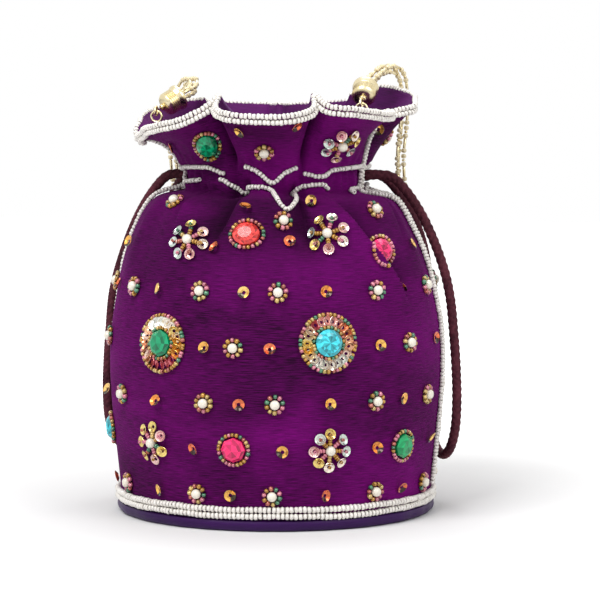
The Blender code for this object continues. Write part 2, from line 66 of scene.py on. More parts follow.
# Each lobe: angle, depth and droop of the fold it starts at, how much further its middle droops,
# and how far its folds and its droop lean to one side
LOBES = (
    (-90, 0.18, 0.0225, 0.0045, 1.0, 1.0),
    (-18, 1.00, 0.0000, 0.0080, 1.0, 1.0),
    (28, 1.00, 0.0000, 0.0030, 0.7, 0.7),
    (90, 0.90, 0.0075, -0.0070, 1.0, 2.0),
    (148, 0.80, -0.0020, 0.0020, 1.0, 1.0),
    (188, 0.90, 0.0035, 0.0010, 1.0, 1.0),
    (228, 0.60, 0.0005, -0.0050, 1.0, 1.0),
)
STATIONS = (
    (HEM_RADIUS, HEM_HEIGHT),
    (BELLY_RADIUS, 0.108),
    (0.0785, 0.150),
    (0.0655, 0.1695),
    (NECK_RADIUS, NECK_HEIGHT),
    (NECK_RADIUS, NECK_HEIGHT + CASING_WIDTH),
)
PLEATS = (0.0, 0.0, 0.0024, 0.0040, 0.0034, 0.0034)
TOP = len(STATIONS) - 1
RIM = TOP + 1
CORD_DIAMETER = 0.0055
CORD_SEAT = 0.0007
# A loop of the drawstring: distance from the middle, angle to its side, and height over the
# casing's lower edge
CORD_ROUTE = (
    (0.0476, 99, 0.0057), (0.0550, 99, 0.0067), (0.0640, 99, 0.0050), (0.0735, 99, -0.0055),
    (0.0825, 99, -0.0210), (0.0905, 99, -0.0410), (0.0950, 98, -0.0595), (0.0972, 98, -0.0805),
    (0.0985, 98, -0.0985), (0.0990, 98, -0.1155), (0.0983, 99, -0.1315), (0.0962, 103, -0.1435),
    (0.0945, 110, -0.1490), (0.0945, 118, -0.1470), (0.0955, 124, -0.1365), (0.0960, 127, -0.1155),
    (0.0960, 127, -0.0855), (0.0945, 125, -0.0595), (0.0895, 122, -0.0375), (0.0815, 120, -0.0185),
    (0.0700, 117, -0.0025), (0.0600, 114, 0.0055), (0.0486, 112, 0.0067),
)
LINK_LEFT = Vector((-0.06879, 0.01124, 0.21648))
LINK_RIGHT = Vector((0.0470, 0.0, 0.2210))
CAP_WAY_LEFT = Vector((0.70, 0.53, 0.50)).normalized()
CAP_WAY_RIGHT = Vector((0.03, 0.85, 0.53)).normalized()
CAP_START = 0.0024 + 0.00065
CAP_LENGTH = 0.0135
STRAND_SPACING = 0.0038
STRAND_ROUTE = (
    (-0.0520, 0.0310, 0.2290), (-0.0545, 0.0410, 0.2330), (-0.0615, 0.0500, 0.2310),
    (-0.0680, 0.0555, 0.2170), (-0.0680, 0.0545, 0.1900), (-0.0655, 0.0600, 0.1650),
    (-0.0590, 0.0710, 0.1420), (-0.0430, 0.0850, 0.1230), (-0.0050, 0.0960, 0.1130),
    (0.0330, 0.0900, 0.1200), (0.0530, 0.0765, 0.1400), (0.0600, 0.0660, 0.1650),
    (0.0600, 0.0610, 0.1900), (0.0615, 0.0650, 0.2135), (0.0610, 0.0590, 0.2350),
    (0.0550, 0.0455, 0.2402),
)

# Sizes of the board and the ruffle that the solids do not share
BASE_ROUNDING = 0.0035
FLAP_OVERLAP_DEG = 3.4
LEFT_TIP_IN = 0.0060
RIGHT_FLANK_IN = 0.0085
RIM_FOLD_OUT = 0.0110
# An angle, and how much higher the rim is there
RIM_WAVES = (
    (-90, 0.0), (-75, -0.0006), (-58, 0.0004), (-40, -0.0005), (-29, 0.0008), (-20, 0.0030),
    (-13, 0.0012), (0, -0.0004), (8, -0.0010), (18, 0.0006), (29, 0.0036), (37, 0.0),
    (48, 0.0006), (60, -0.0008), (76, 0.0010), (90, 0.0), (180, 0.0), (270, 0.0),
)

# Beads in rows: diameter and pitch
BASE_BEAD = (0.0036, 0.00232)
RIM_BEAD = (0.0032, 0.00222)
CASING_BEAD = (0.0027, 0.00190)
SEAM_BEAD = (0.0027, 0.00192)
BEAD_STRAY = 0.00012
ROW_STEP = 0.75
# Angles between which folds of the front hide a row at the gathers
ROW_GAPS = {
    ("lower", "front"): ((-44, -29), (44, 57.5)),
    ("upper", "front"): ((-24.5, -8.5), (23, 29.5)),
}

# Camera: straight distance, height and turn about the bag, and where it looks
CAMERA_DISTANCE = 1.5
CAMERA_HEIGHT = 0.235
CAMERA_TURN = math.radians(10)
FOCAL_PIXELS = 2755
PICTURE = 600
AIM_RIGHT = 0.0132
AIM_HEIGHT = 0.1138


def lay_camera():
    sensor = 36.0
    place = Vector((math.sin(CAMERA_TURN), -math.cos(CAMERA_TURN), 0)) * CAMERA_DISTANCE
    place.z = CAMERA_HEIGHT
    aim = Vector((math.cos(CAMERA_TURN), math.sin(CAMERA_TURN), 0)) * AIM_RIGHT
    aim.z = AIM_HEIGHT
    turn = (aim - place).to_track_quat("-Z", "Y")
    bpy.ops.object.camera_add(location=place, rotation=turn.to_euler())
    camera = bpy.context.object
    camera.name = "camera"
    camera.data.sensor_width = sensor
    camera.data.lens = FOCAL_PIXELS / PICTURE * sensor
    bpy.context.scene.camera = camera
    return place, turn


CAMERA_PLACE, CAMERA_QUAT = lay_camera()


def sight(x, y):
    """The way from the camera through a point of the picture."""
    half = PICTURE / 2
    way = CAMERA_QUAT @ Vector((x - half, half - y, -FOCAL_PIXELS))
    return way.normalized()


# Small helpers
def deselect():
    if bpy.context.object and bpy.context.object.mode != "OBJECT":
        bpy.ops.object.mode_set(mode="OBJECT")
    for chosen in list(bpy.context.selected_objects):
        chosen.select_set(False)


def activate(piece):
    deselect()
    piece.select_set(True)
    bpy.context.view_layer.objects.active = piece


def edit():
    bpy.ops.object.mode_set(mode="EDIT")
    bpy.ops.mesh.select_all(action="SELECT")


def done():
    bpy.ops.object.mode_set(mode="OBJECT")


def pick_faces(piece, test):
    """Leaves edit mode, selects the faces that pass the test, and goes back in."""
    done()
    for vert in piece.data.vertices:
        vert.select = False
    for edge in piece.data.edges:
        edge.select = False
    for face in piece.data.polygons:
        face.select = test(face)
    bpy.ops.object.mode_set(mode="EDIT")
    bpy.ops.mesh.select_mode(type="FACE")


def srgb(red, green, blue):
    """A colour as seen on the real piece, for a shader."""

    def line(c):
        c /= 255
        return c / 12.92 if c <= 0.04045 else ((c + 0.055) / 1.055) ** 2.4

    return (line(red), line(green), line(blue), 1.0)


def blend(x):
    x = min(1.0, max(0.0, x))
    return x * x * (3 - 2 * x)


def measured(line):
    """A line's length, and a function that gives its point at any distance along it."""
    along = np.cumsum([0.0] + [(b - a).length for a, b in zip(line, line[1:])])
    table = np.array([tuple(p) for p in line])

    def on(x):
        return Vector([float(np.interp(x, along, table[:, k])) for k in range(3)])

    return float(along[-1]), on


def evenly(line, step):
    """The same line with its points one step apart."""
    length, on = measured(line)
    count = max(2, round(length / step))
    return [on(x) for x in np.linspace(0, length, count + 1)]


def curve_through(points, step):
    """Points about a step apart on a smooth curve through the given ones."""
    points = [Vector(p) for p in points]
    ends = [2 * points[0] - points[1], *points, 2 * points[-1] - points[-2]]
    fine = []
    for p0, p1, p2, p3 in zip(ends, ends[1:], ends[2:], ends[3:]):
        bend = 2 * p0 - 5 * p1 + 4 * p2 - p3
        twist = 3 * p1 - p0 - 3 * p2 + p3
        for k in range(16):
            t = k / 16
            fine.append(0.5 * (2 * p1 + (p2 - p0) * t + bend * t**2 + twist * t**3))
    fine.append(points[-1])
    return evenly(fine, step)


def new_piece(name, mesh):
    piece = bpy.data.objects.new(name, mesh)
    bpy.context.scene.collection.objects.link(piece)
    return piece


def thicken(sheet, thickness, offset=-1.0, inner_slot=0):
    """Gives a sheet its thickness and a material slot for its inner side."""
    wall = sheet.modifiers.new("wall", "SOLIDIFY")
    wall.thickness = thickness
    wall.offset = offset
    wall.material_offset = inner_slot
    activate(sheet)
    bpy.ops.object.modifier_apply(modifier=wall.name)


def fit(piece, slot, body, *nodes):
    """Puts a piece on its body in place of its solids; the finish it is given is not used."""
    if nodes:
        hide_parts(*nodes)
    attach(piece, body)


# The velvet's shape, as in the solids
def lobe_at(angle):
    angle = (angle + 90) % 360 - 90
    starts = [lobe[0] for lobe in LOBES] + [LOBES[0][0] + 360]
    i = max(k for k in range(len(LOBES)) if starts[k] <= angle + 1e-9)
    share = (angle - starts[i]) / (starts[i + 1] - starts[i])
    this, following = LOBES[i], LOBES[(i + 1) % len(LOBES)]
    leant = share ** this[4]
    depth = this[1] if leant < 0.5 else following[1]
    fold = depth * abs(2 * leant - 1) ** FOLD_SHARPNESS
    swell = 1 - (2 * share ** this[5] - 1) ** 2
    droop = this[2] + (following[2] - this[2]) * share + this[3] * swell
    return share, fold, droop


def slopes():
    points = [np.array(s) for s in STATIONS]
    spans = [np.linalg.norm(b - a) for a, b in zip(points, points[1:])]
    found = [(points[1] - points[0]) / spans[0]]
    for k in range(1, TOP - 1):
        before = (points[k] - points[k - 1]) / spans[k - 1]
        after = (points[k + 1] - points[k]) / spans[k]
        found.append((before * spans[k] + after * spans[k - 1]) / (spans[k - 1] + spans[k]))
    return points, spans, [*found, np.array((0.0, 0.3)), np.array((0.0, 1.0))]


POINTS, SPANS, SLOPES = slopes()


def profile(level):
    i = min(int(level), TOP - 1)
    t, span = level - i, SPANS[i]
    p, q, a, b = POINTS[i], POINTS[i + 1], SLOPES[i] * span, SLOPES[i + 1] * span
    start = p * (2 * t**3 - 3 * t**2 + 1) + a * (t**3 - 2 * t**2 + t)
    return start + q * (3 * t**2 - 2 * t**3) + b * (t**3 - t**2)


def pleat_at(level):
    i = min(int(level), TOP - 1)
    return PLEATS[i] + (PLEATS[i + 1] - PLEATS[i]) * (level - i)


def velvet_at(angle, level):
    """The solids' cloth, without the small tuck in the middle of each lobe."""
    share, fold, droop = lobe_at(angle)
    body = min(level, TOP)
    radius, height = profile(body)
    radius -= pleat_at(body) * fold
    height -= CASING_DIP * fold * blend(1 - abs(body - (TOP - 1)))
    up = max(0.0, level - TOP)
    outer = CREST_RADIUS + (VALLEY_RADIUS - CREST_RADIUS) * fold
    radius += (outer - radius) * up**1.15
    height += RUFFLE_HEIGHT * up - droop * up**2
    turn = math.radians(angle - OVERHANG_DEG * up * math.sin(2 * math.pi * share))
    return Vector((radius * math.sin(turn), -radius * math.cos(turn), height))


# Where the two rows of beads at the gathers run: an angle and a height each
LOWER_ROW = (
    (-90, 0.1735), (-78, 0.1770), (-60, 0.1785), (-45, 0.1800), (-26.4, 0.1806), (-18, 0.1754),
    (-13.8, 0.1722), (-7.2, 0.1768), (3.5, 0.1768), (8.2, 0.1744), (12.9, 0.1660), (15.6, 0.1652),
    (21.2, 0.1706), (26.7, 0.1768), (38.7, 0.1782), (44, 0.1748), (49.8, 0.1704), (60.6, 0.1740),
    (72, 0.1756), (80, 0.1720), (90, 0.1690), (105, 0.1765), (120, 0.1745), (128, 0.1690),
    (136, 0.1752), (150, 0.1775), (165, 0.1760), (172, 0.1690), (180, 0.1752), (195, 0.1775),
    (208, 0.1762), (214, 0.1690), (222, 0.1755), (240, 0.1778), (258, 0.1765), (270, 0.1735),
)
UPPER_ROW = (
    (-90, 0.1862), (-60, 0.1880), (-34.7, 0.1886), (-25.5, 0.1845), (-18, 0.1868), (-7, 0.1893),
    (1.6, 0.1856), (8, 0.1798), (14.2, 0.1856), (22.4, 0.1884), (26, 0.1870), (30.2, 0.1846),
    (38.5, 0.1832), (46.4, 0.1871), (60, 0.1880), (78, 0.1882), (90, 0.1862), (110, 0.1882),
    (119, 0.1862), (125, 0.1812), (131, 0.1862), (148, 0.1885), (160, 0.1875), (168, 0.1825),
    (176, 0.1875), (188, 0.1885), (200, 0.1870), (208, 0.1820), (216, 0.1870), (228, 0.1885),
    (245, 0.1868), (258, 0.1885), (270, 0.1862),
)
FLAP_RISE = 0.0040
SHOULDER_RISE = 0.0024
# Sharp creases: where each starts and ends (an angle and a height), how deep it is, and how far it
# reaches on its left and on its right
CREASES = (
    ((-9.0, 0.1770), (-17.0, 0.1460), 0.0090, 0.0085, 0.0022),
    ((-40.0, 0.1760), (-36.0, 0.1580), 0.0024, 0.0040, 0.0016),
    ((23.0, 0.1740), (25.0, 0.1420), 0.0090, 0.0100, 0.0022),
    ((-68.0, 0.1780), (-62.0, 0.1480), 0.0024, 0.0050, 0.0016),
    ((76.0, 0.1740), (70.0, 0.1500), 0.0020, 0.0040, 0.0016),
    ((128.0, 0.1740), (124.0, 0.1420), 0.0040, 0.0060, 0.0018),
    ((172.0, 0.1740), (175.0, 0.1400), 0.0040, 0.0018, 0.0060),
    ((214.0, 0.1740), (209.0, 0.1420), 0.0040, 0.0060, 0.0018),
    ((246.0, 0.1760), (250.0, 0.1450), 0.0024, 0.0018, 0.0050),
)
# The long tuck at the front right, where the cloth folds over itself
TUCK_FROM = (39.5, 0.1660)
TUCK_TO = (61.0, 0.1215)
TUCK_RISE = 0.0052
TUCK_REACH = 0.010
TUCK_LIP = 0.0010
TUCK_DEPTH = 0.0050
TUCK_GROOVE = 0.0048
SHOULDER_RADIUS = 0.070
FOLD_IN = 0.0085
# How much painted shade darkens the pile: at most, all over the shoulder, in a fold and beside the tuck
PAINTED_SHADE_MOST = 0.72
PAINTED_SHADE_SHOULDER = 0.30
PAINTED_SHADE_FOLD = 0.50
PAINTED_SHADE_TUCK = 0.60

ROW_HEIGHTS = {}


def row_height(row, angle):
    """The height of a row of beads at an angle, with its corners eased."""
    angle = (angle + 90) % 360 - 90
    if (row, angle) not in ROW_HEIGHTS:
        near = [angle + shift for shift in (-1.6, -0.8, 0, 0.8, 1.6)]
        ROW_HEIGHTS[row, angle] = float(np.mean(np.interp(near, *zip(*row))))
    return ROW_HEIGHTS[row, angle]


def puffed(angle, height, fold):
    """How far the cloth stands out above the upper row and below the lower one."""
    above = height - row_height(UPPER_ROW, angle)
    below = row_height(LOWER_ROW, angle) - height
    out = 0.0
    if -0.0022 < above < 0.04:
        out += FLAP_RISE * (1 - fold) * blend((above + 0.0022) / 0.0040) * math.exp(-max(0.0, above) / 0.014)
    if -0.0022 < below < 0.05:
        out += SHOULDER_RISE * blend((below + 0.0022) / 0.0040) * math.exp(-max(0.0, below) / 0.011)
    return out


def from_line(start, end, angle, height):
    """How far along a line on the unrolled cloth a point lies, and how far to the side of it."""
    turn = math.radians(SHOULDER_RADIUS)
    ax, az, bx, bz = start[0] * turn, start[1], end[0] * turn, end[1]
    x, z = angle * turn - ax, height - az
    length = math.hypot(bx - ax, bz - az)
    ux, uz = (bx - ax) / length, (bz - az) / length
    return (x * ux + z * uz) / length, x * uz - z * ux


def creased(angle, height):
    """How deep the sharp creases of the shoulder are at a point."""
    deep = 0.0
    for start, end, depth, left, right in CREASES:
        if abs((angle - start[0] + 180) % 360 - 180) > 25:
            continue
        along, across = from_line(start, end, angle, height)
        if -0.3 < along < 1.3:
            ends = blend((along + 0.25) / 0.35) * blend((1.25 - along) / 0.8)
            reach = left if across > 0 else right
            deep = max(deep, depth * ends * math.exp(-abs(across) / reach))
    return deep


def tuck_rise(angle, height):
    """How far the flap of the long tuck stands out, ending in a sharp lip."""
    along, across = from_line(TUCK_FROM, TUCK_TO, angle, height)
    if across < -5 * TUCK_GROOVE or across > 3 * TUCK_REACH or not -0.25 < along < 1.2:
        return 0.0
    ends = blend((along + 0.25) / 0.4) * blend((1.2 - along) / 0.45)
    if across < -TUCK_LIP:
        return -TUCK_DEPTH * ends * math.exp((across + TUCK_LIP) / TUCK_GROOVE)
    if across < 0:
        return ends * (-TUCK_DEPTH + (TUCK_RISE + TUCK_DEPTH) * blend(1 + across / TUCK_LIP))
    return TUCK_RISE * ends * math.exp(-((across / TUCK_REACH) ** 1.3))


def painted_fold_shade(angle, height):
    """Painted shade on the pile: darker over the gathers of the shoulder, in its creases and in the groove
    beside the tuck, and lighter on the tuck's lit flap.
    """
    band = blend((height - 0.118) / 0.030) * blend((0.178 - height) / 0.006)
    along, across = from_line(TUCK_FROM, TUCK_TO, angle, height)
    # Painted light: the tuck's flap, where it faces the light, loses most of its painted shade
    lit = math.exp(-((across - 0.004) ** 2) / 0.00004) if 0 < along < 1.2 else 0.0
    shadow = 0.0
    # Painted shadow in the groove on the other side of the tuck's lip
    if across < 0 and -0.1 < along < 1.1:
        ends = blend((along + 0.1) / 0.2) * blend((1.1 - along) / 0.3)
        shadow = PAINTED_SHADE_TUCK * math.exp(across / 0.0065) * ends
    folds = min(1.0, creased(angle, height) / 0.0060)
    return min(PAINTED_SHADE_MOST, band * (PAINTED_SHADE_SHOULDER + PAINTED_SHADE_FOLD * folds) * (1 - 0.8 * lit) + shadow)


def cloth_at(angle, level):
    """The velvet's outer surface with its gathers, creases, flaps and the long tuck."""
    point = velvet_at(angle, level)
    share, fold = lobe_at(angle)[:2]
    a = math.radians(angle)
    gathered = blend(1 - abs(level - (TOP - 0.5)) / 1.6)
    shoulder = blend((level - 1.0) / 1.4) * blend((TOP + 0.3 - level) / 1.0)
    rise = 0.00050 * gathered * math.sin(41 * a + 1.6 * math.sin(6 * a))
    rise += 0.0010 * shoulder * (math.sin(11 * a + 0.7) + 0.6 * math.sin(19 * a + 2.1))
    rise += 0.0005 * math.sin(5 * a + 2.0) * math.sin(2.4 * level + 2 * math.sin(3 * a))
    turn = 0.0
    if level > TOP - 1.5:
        up = max(0.0, level - TOP)
        rise += 0.0009 * up * math.sin(23 * a + 2 * math.sin(4 * a) + 2.5 * up)
        beside = blend((abs(abs((angle + 180) % 360 - 180) - 90) - 8) / 10)
        deepened = FOLD_IN * beside * blend((level - TOP) / 0.35) * blend((1.05 - up) / 0.5)
        rise -= (0.0006 + deepened) * fold ** 4
        rise += RIM_FOLD_OUT * beside * blend((up - 0.5) / 0.5) * fold ** 3
        rise -= LEFT_TIP_IN * blend(up / 0.8) * math.exp(-(((angle + 66) / 15) ** 2))
        rise -= RIGHT_FLANK_IN * blend(up / 0.7) * math.exp(-(((angle - 73) / 13) ** 2))
        point.z += blend(up / 0.8) * float(np.interp((angle + 90) % 360 - 90, *zip(*RIM_WAVES)))
        if -90 < angle < 90:
            turn = -math.radians(FLAP_OVERLAP_DEG) * blend(up / 0.5) * math.sin(2 * math.pi * share)
    rise += puffed(angle, point.z, fold)
    if level < TOP:
        rise -= creased(angle, point.z)
        if 20 < angle < 90:
            rise += tuck_rise(angle, point.z)
    rise *= blend(level / 0.35)
    radius = math.hypot(point.x, point.y)
    out = Vector((point.x, point.y, 0)) * ((radius + rise) / radius)
    c, d = math.cos(turn), math.sin(turn)
    return Vector((out.x * c - out.y * d, out.x * d + out.y * c, point.z))


def facing(angle, level):
    """The way out of the cloth at a point."""
    low, high = max(0.0, level - 0.04), min(RIM, level + 0.04)
    round_it = cloth_at(angle + 0.6, level) - cloth_at(angle - 0.6, level)
    rise = cloth_at(angle, high) - cloth_at(angle, low)
    return round_it.cross(rise).normalized()


def level_at(angle, height):
    """The velvet's level at a height: it rises all the way up, so halving finds it."""
    low, high = 0.0, float(RIM)
    for _ in range(16):
        middle = (low + high) / 2
        if velvet_at(angle, middle).z < height:
            low = middle
        else:
            high = middle
    return (low + high) / 2


# Materials
def new_material(name):
    made = bpy.data.materials.new(name)
    made.use_nodes = True
    tree = made.node_tree
    return made, tree, tree.nodes["Principled BSDF"]


def feed(tree, made, inputs):
    """Sets each input of a node, or links it where the value is another node's output."""
    for key, value in inputs.items():
        if isinstance(value, bpy.types.NodeSocket):
            tree.links.new(value, made.inputs[key])
        else:
            made.inputs[key].default_value = value


def node(tree, kind, inputs=None, **settings):
    """A new node's outputs, once its settings and inputs are in place."""
    made = tree.nodes.new(kind)
    for key, value in settings.items():
        setattr(made, key, value)
    feed(tree, made, inputs or {})
    return made.outputs


def group_frame(name, inputs, outputs):
    """A node group with a vector and some numbers going in, and some numbers coming out."""
    group = bpy.data.node_groups.new(name, "ShaderNodeTree")
    group.interface.new_socket(name="Vector", in_out="INPUT", socket_type="NodeSocketVector")
    for label, value in inputs.items():
        socket = group.interface.new_socket(name=label, in_out="INPUT", socket_type="NodeSocketFloat")
        socket.default_value = value
    for label in outputs:
        group.interface.new_socket(name=label, in_out="OUTPUT", socket_type="NodeSocketFloat")
    return group, group.nodes.new("NodeGroupInput").outputs, group.nodes.new("NodeGroupOutput")


def speckle_group():
    """Fine and coarse variation over a surface, as one value about 0.5."""
    group, given, leave = group_frame(
        "surface_variation", {"Fine": 900.0, "Coarse": 60.0}, ("Value", "Grain")
    )
    vector = given["Vector"]
    fine = node(group, "ShaderNodeTexNoise", {"Vector": vector, "Scale": given["Fine"], "Detail": 3.0})
    coarse = node(group, "ShaderNodeTexNoise", {"Vector": vector, "Scale": given["Coarse"], "Detail": 2.0})
    mean = node(group, "ShaderNodeMix", {0: 0.4, 2: coarse["Fac"], 3: fine["Fac"]}, data_type="FLOAT")
    feed(group, leave, {"Value": mean[0], "Grain": fine["Fac"]})
    return group


def threads_group():
    """Woven or brushed threads: streaks along U, finer along V, and the cloth's slow shade changes."""
    group, given, leave = group_frame(
        "cloth_threads", {"Along": 30.0, "Across": 420.0, "Patches": 5.0}, ("Streaks", "Patches")
    )
    scale = node(group, "ShaderNodeCombineXYZ", {"X": given["Along"], "Y": given["Across"], "Z": 1.0})
    stretched = node(group, "ShaderNodeVectorMath", {0: given["Vector"], 1: scale[0]}, operation="MULTIPLY")
    streaks = node(
        group, "ShaderNodeTexNoise", {"Vector": stretched[0], "Scale": 1.0, "Detail": 4.0, "Roughness": 0.65}
    )
    patches = node(
        group,
        "ShaderNodeTexNoise",
        {"Vector": given["Vector"], "Scale": given["Patches"], "Detail": 3.0, "Distortion": 0.6},
    )
    feed(group, leave, {"Streaks": streaks["Fac"], "Patches": patches["Fac"]})
    return group


SPECKLE = speckle_group()
THREADS = threads_group()


def between(tree, value, low, high, dark, light):
    """A colour that goes from dark to light as a value goes from low to high."""
    made = tree.nodes.new("ShaderNodeValToRGB")
    for element, at, colour in zip(made.color_ramp.elements, (low, high), (dark, light)):
        element.position = at
        element.color = colour
    feed(tree, made, {"Fac": value})
    return made.outputs["Color"]


def cloth_material(name, dark, light, veil, streaks, patches, rough, sheen, bump, contrast=0.14, gloss=0.1):
    """Cloth in two shades and the colour of its sheen, darkened by the painted shade that the mesh carries
    in its folds.
    """
    made, tree, shader = new_material(name)
    where = node(tree, "ShaderNodeUVMap", uv_map="UVMap")
    weave = {"Vector": where["UV"], "Along": streaks[0], "Across": streaks[1], "Patches": patches}
    threads = node(tree, "ShaderNodeGroup", weave, node_tree=THREADS)
    both = node(tree, "ShaderNodeMath", {0: threads["Streaks"], 1: threads["Patches"]}, operation="ADD")
    half = node(tree, "ShaderNodeMath", {0: both[0], 1: 0.5}, operation="MULTIPLY")
    colour = between(tree, half[0], 0.5 - contrast, 0.5 + contrast, srgb(*dark), srgb(*light))
    # Painted shade: the mesh's value darkens the colour; cloth without it keeps its colour
    painted_shade = node(tree, "ShaderNodeAttribute", attribute_name="painted_shade", attribute_type="GEOMETRY")
    left = node(tree, "ShaderNodeMath", {0: 1.0, 1: painted_shade["Fac"]}, operation="SUBTRACT")
    darker = node(tree, "ShaderNodeVectorMath", {0: colour, "Scale": left[0]}, operation="SCALE")
    lift = node(tree, "ShaderNodeBump", {"Strength": bump, "Distance": 0.0004, "Height": threads["Streaks"]})
    feed(tree, shader, {"Base Color": darker["Vector"], "Normal": lift["Normal"], "Roughness": rough})
    feed(tree, shader, {"Sheen Weight": sheen, "Sheen Roughness": 0.35, "Sheen Tint": srgb(*veil)})
    feed(tree, shader, {"Specular IOR Level": gloss})
    return made


def hard_material(
    name, dark, light, rough, tinted=False, metallic=0.0, coat=0.0, fine=900.0, coarse=90.0,
    bump=0.15, ior=1.5
):
    """Beads, pearls, stones and metal: a tint of each piece's own, which carries the painted glints of
    stones and sequins, or a colour, both varying slightly.
    """
    made, tree, shader = new_material(name)
    where = node(tree, "ShaderNodeTexCoord")
    scales = {"Vector": where["Object"], "Fine": fine, "Coarse": coarse}
    speckle = node(tree, "ShaderNodeGroup", scales, node_tree=SPECKLE)
    colour = between(tree, speckle["Value"], 0.35, 0.65, dark, light)
    if tinted:
        tint = node(tree, "ShaderNodeAttribute", attribute_name="tint", attribute_type="GEOMETRY")
        mixed = {0: 1.0, 6: colour, 7: tint["Color"]}
        colour = node(tree, "ShaderNodeMix", mixed, data_type="RGBA", blend_type="MULTIPLY")[2]
    spread = {"To Min": rough * 0.75, "To Max": rough * 1.3, "Value": speckle["Grain"]}
    uneven_glint = node(tree, "ShaderNodeMapRange", spread)["Result"]
    feed(tree, shader, {"Base Color": colour, "Roughness": uneven_glint})
    if bump:
        height = {"Strength": bump, "Distance": 0.0001, "Height": speckle["Value"]}
        feed(tree, shader, {"Normal": node(tree, "ShaderNodeBump", height)["Normal"]})
    feed(tree, shader, {"Metallic": metallic, "Coat Weight": coat, "Coat Roughness": 0.08, "IOR": ior})
    return made


VELVET = cloth_material(
    "velvet_pile", (36, 0, 34), (124, 5, 118), (160, 20, 150), (70, 560), 4, 0.85, 0.22, 1.0, contrast=0.13
)
INNER = cloth_material(
    "velvet_wrong_side", (46, 2, 50), (92, 10, 96), (170, 90, 200), (60, 700), 7, 0.6, 0.2, 0.3
)
SATIN = cloth_material(
    "base_satin", (34, 4, 58), (58, 12, 84), (120, 80, 180), (40, 900), 9, 0.42, 0.05, 0.25, gloss=0.2
)
LINING = cloth_material(
    "lining_satin", (66, 14, 92), (100, 32, 132), (180, 120, 220), (60, 500), 6, 0.4, 0.15, 0.25
)
CORD = cloth_material("cord_yarn", (54, 24, 34), (104, 50, 62), (170, 110, 120), (9, 9), 2, 0.65, 0.3, 0.5)

WHITE = (1.0, 1.0, 1.0, 1.0)
OFF_WHITE = (0.94, 0.93, 0.91, 1.0)
GREY = (0.72, 0.72, 0.72, 1.0)
PALE_GREY = (0.86, 0.86, 0.86, 1.0)
FOIL_SHADE = (0.8, 0.72, 0.7, 1.0)
WHITE_BEAD = hard_material("white_bead_glaze", OFF_WHITE, WHITE, 0.3, tinted=True, coat=0.5)
BEAD = hard_material("bead_glass", GREY, WHITE, 0.18, tinted=True, metallic=0.25, coat=0.8)
PEARL = hard_material("pearl_shell", OFF_WHITE, WHITE, 0.25, tinted=True, coat=0.8, fine=500.0)
SEQUIN = hard_material(
    "sequin_foil", FOIL_SHADE, WHITE, 0.14, tinted=True, metallic=0.7, coat=0.6, fine=500.0
)
STONE = hard_material("cut_stone", PALE_GREY, WHITE, 0.10, tinted=True, coat=0.25, bump=0.0, ior=1.45)
GOLD = hard_material(
    "pale_gold", srgb(222, 202, 150), srgb(246, 236, 204), 0.24, metallic=1.0, fine=1500.0, bump=0.25
)
CARD = hard_material(
    "pressed_card", srgb(150, 122, 88), srgb(190, 162, 122), 0.85, fine=1400.0, coarse=200.0, bump=0.5
)
YARN = hard_material(
    "cord_core", srgb(46, 20, 30), srgb(92, 42, 54), 0.7, fine=1800.0, coarse=300.0, bump=0.5
)

AMBER = srgb(190, 138, 42)
PALE_GOLD = srgb(216, 184, 110)
PINK = srgb(222, 130, 150)
LEAF = srgb(78, 138, 104)
COPPER = srgb(190, 104, 88)
IVORY = srgb(246, 239, 224)
CREAM = srgb(240, 224, 180)
BEAD_MIX = (AMBER, PALE_GOLD, PINK, LEAF, COPPER, AMBER, PINK)
SEQUIN_GOLD = (srgb(250, 190, 90), srgb(240, 150, 60), srgb(250, 205, 120), srgb(235, 120, 70))
SEQUIN_CLEAR = (srgb(248, 236, 220), srgb(244, 205, 200), srgb(214, 230, 222), srgb(246, 222, 130))

# Shapes that repeat, modelled once; each copy gets a mesh and a tint of its own
Shape = namedtuple("Shape", "co corners starts smooth shade")
# How dark the painted dark reflection over one half of a gold sequin is
CUP_SHADOW = 0.04


def take(piece, smooth=True, uneven_glint=0.0, seed=1, dark_reflection_half=0.0):
    """Keeps a modelled piece's mesh as numbers, with a painted glint on each face and a painted dark
    reflection on the faces of its dark half, and removes the piece.
    """
    mesh = piece.data
    co = np.zeros(len(mesh.vertices) * 3)
    mesh.vertices.foreach_get("co", co)
    corners = np.zeros(len(mesh.loops), np.int32)
    mesh.loops.foreach_get("vertex_index", corners)
    starts = np.array([face.loop_start for face in mesh.polygons], np.int32)
    rng = random.Random(seed)
    shade = np.ones(len(corners))
    for face in mesh.polygons:
        # Painted glint: each face brighter or darker at random, in place of sparkle
        value = 1 + uneven_glint * (rng.random() * 2 - 1)
        # Painted dark reflection on the faces of the dark half
        if abs(math.degrees(math.atan2(face.center.x, -face.center.y))) < dark_reflection_half:
            value *= CUP_SHADOW
        shade[face.loop_start : face.loop_start + face.loop_total] = value
    bpy.data.objects.remove(piece, do_unlink=True)
    return Shape(co.reshape(-1, 3), corners, starts, smooth, shade)


def seed_bead():
    """A glass bead one unit wide, bored along Z."""
    deselect()
    bpy.ops.mesh.primitive_torus_add(
        major_segments=8, minor_segments=5, major_radius=0.33, minor_radius=0.17
    )
    bead = bpy.context.object
    edit()
    bpy.ops.transform.resize(value=(1, 1, 2.0))
    bpy.ops.mesh.normals_make_consistent(inside=False)
    done()
    return take(bead)


def pearl_ball():
    """A pearl one unit wide with a dimple at each end of its bore."""
    deselect()
    bpy.ops.mesh.primitive_uv_sphere_add(segments=12, ring_count=8, radius=0.5)
    ball = bpy.context.object
    edit()
    pick_faces(ball, lambda face: len(face.vertices) == 3)
    bpy.ops.transform.resize(value=(0.8, 0.8, 0.9))
    done()
    return take(ball)


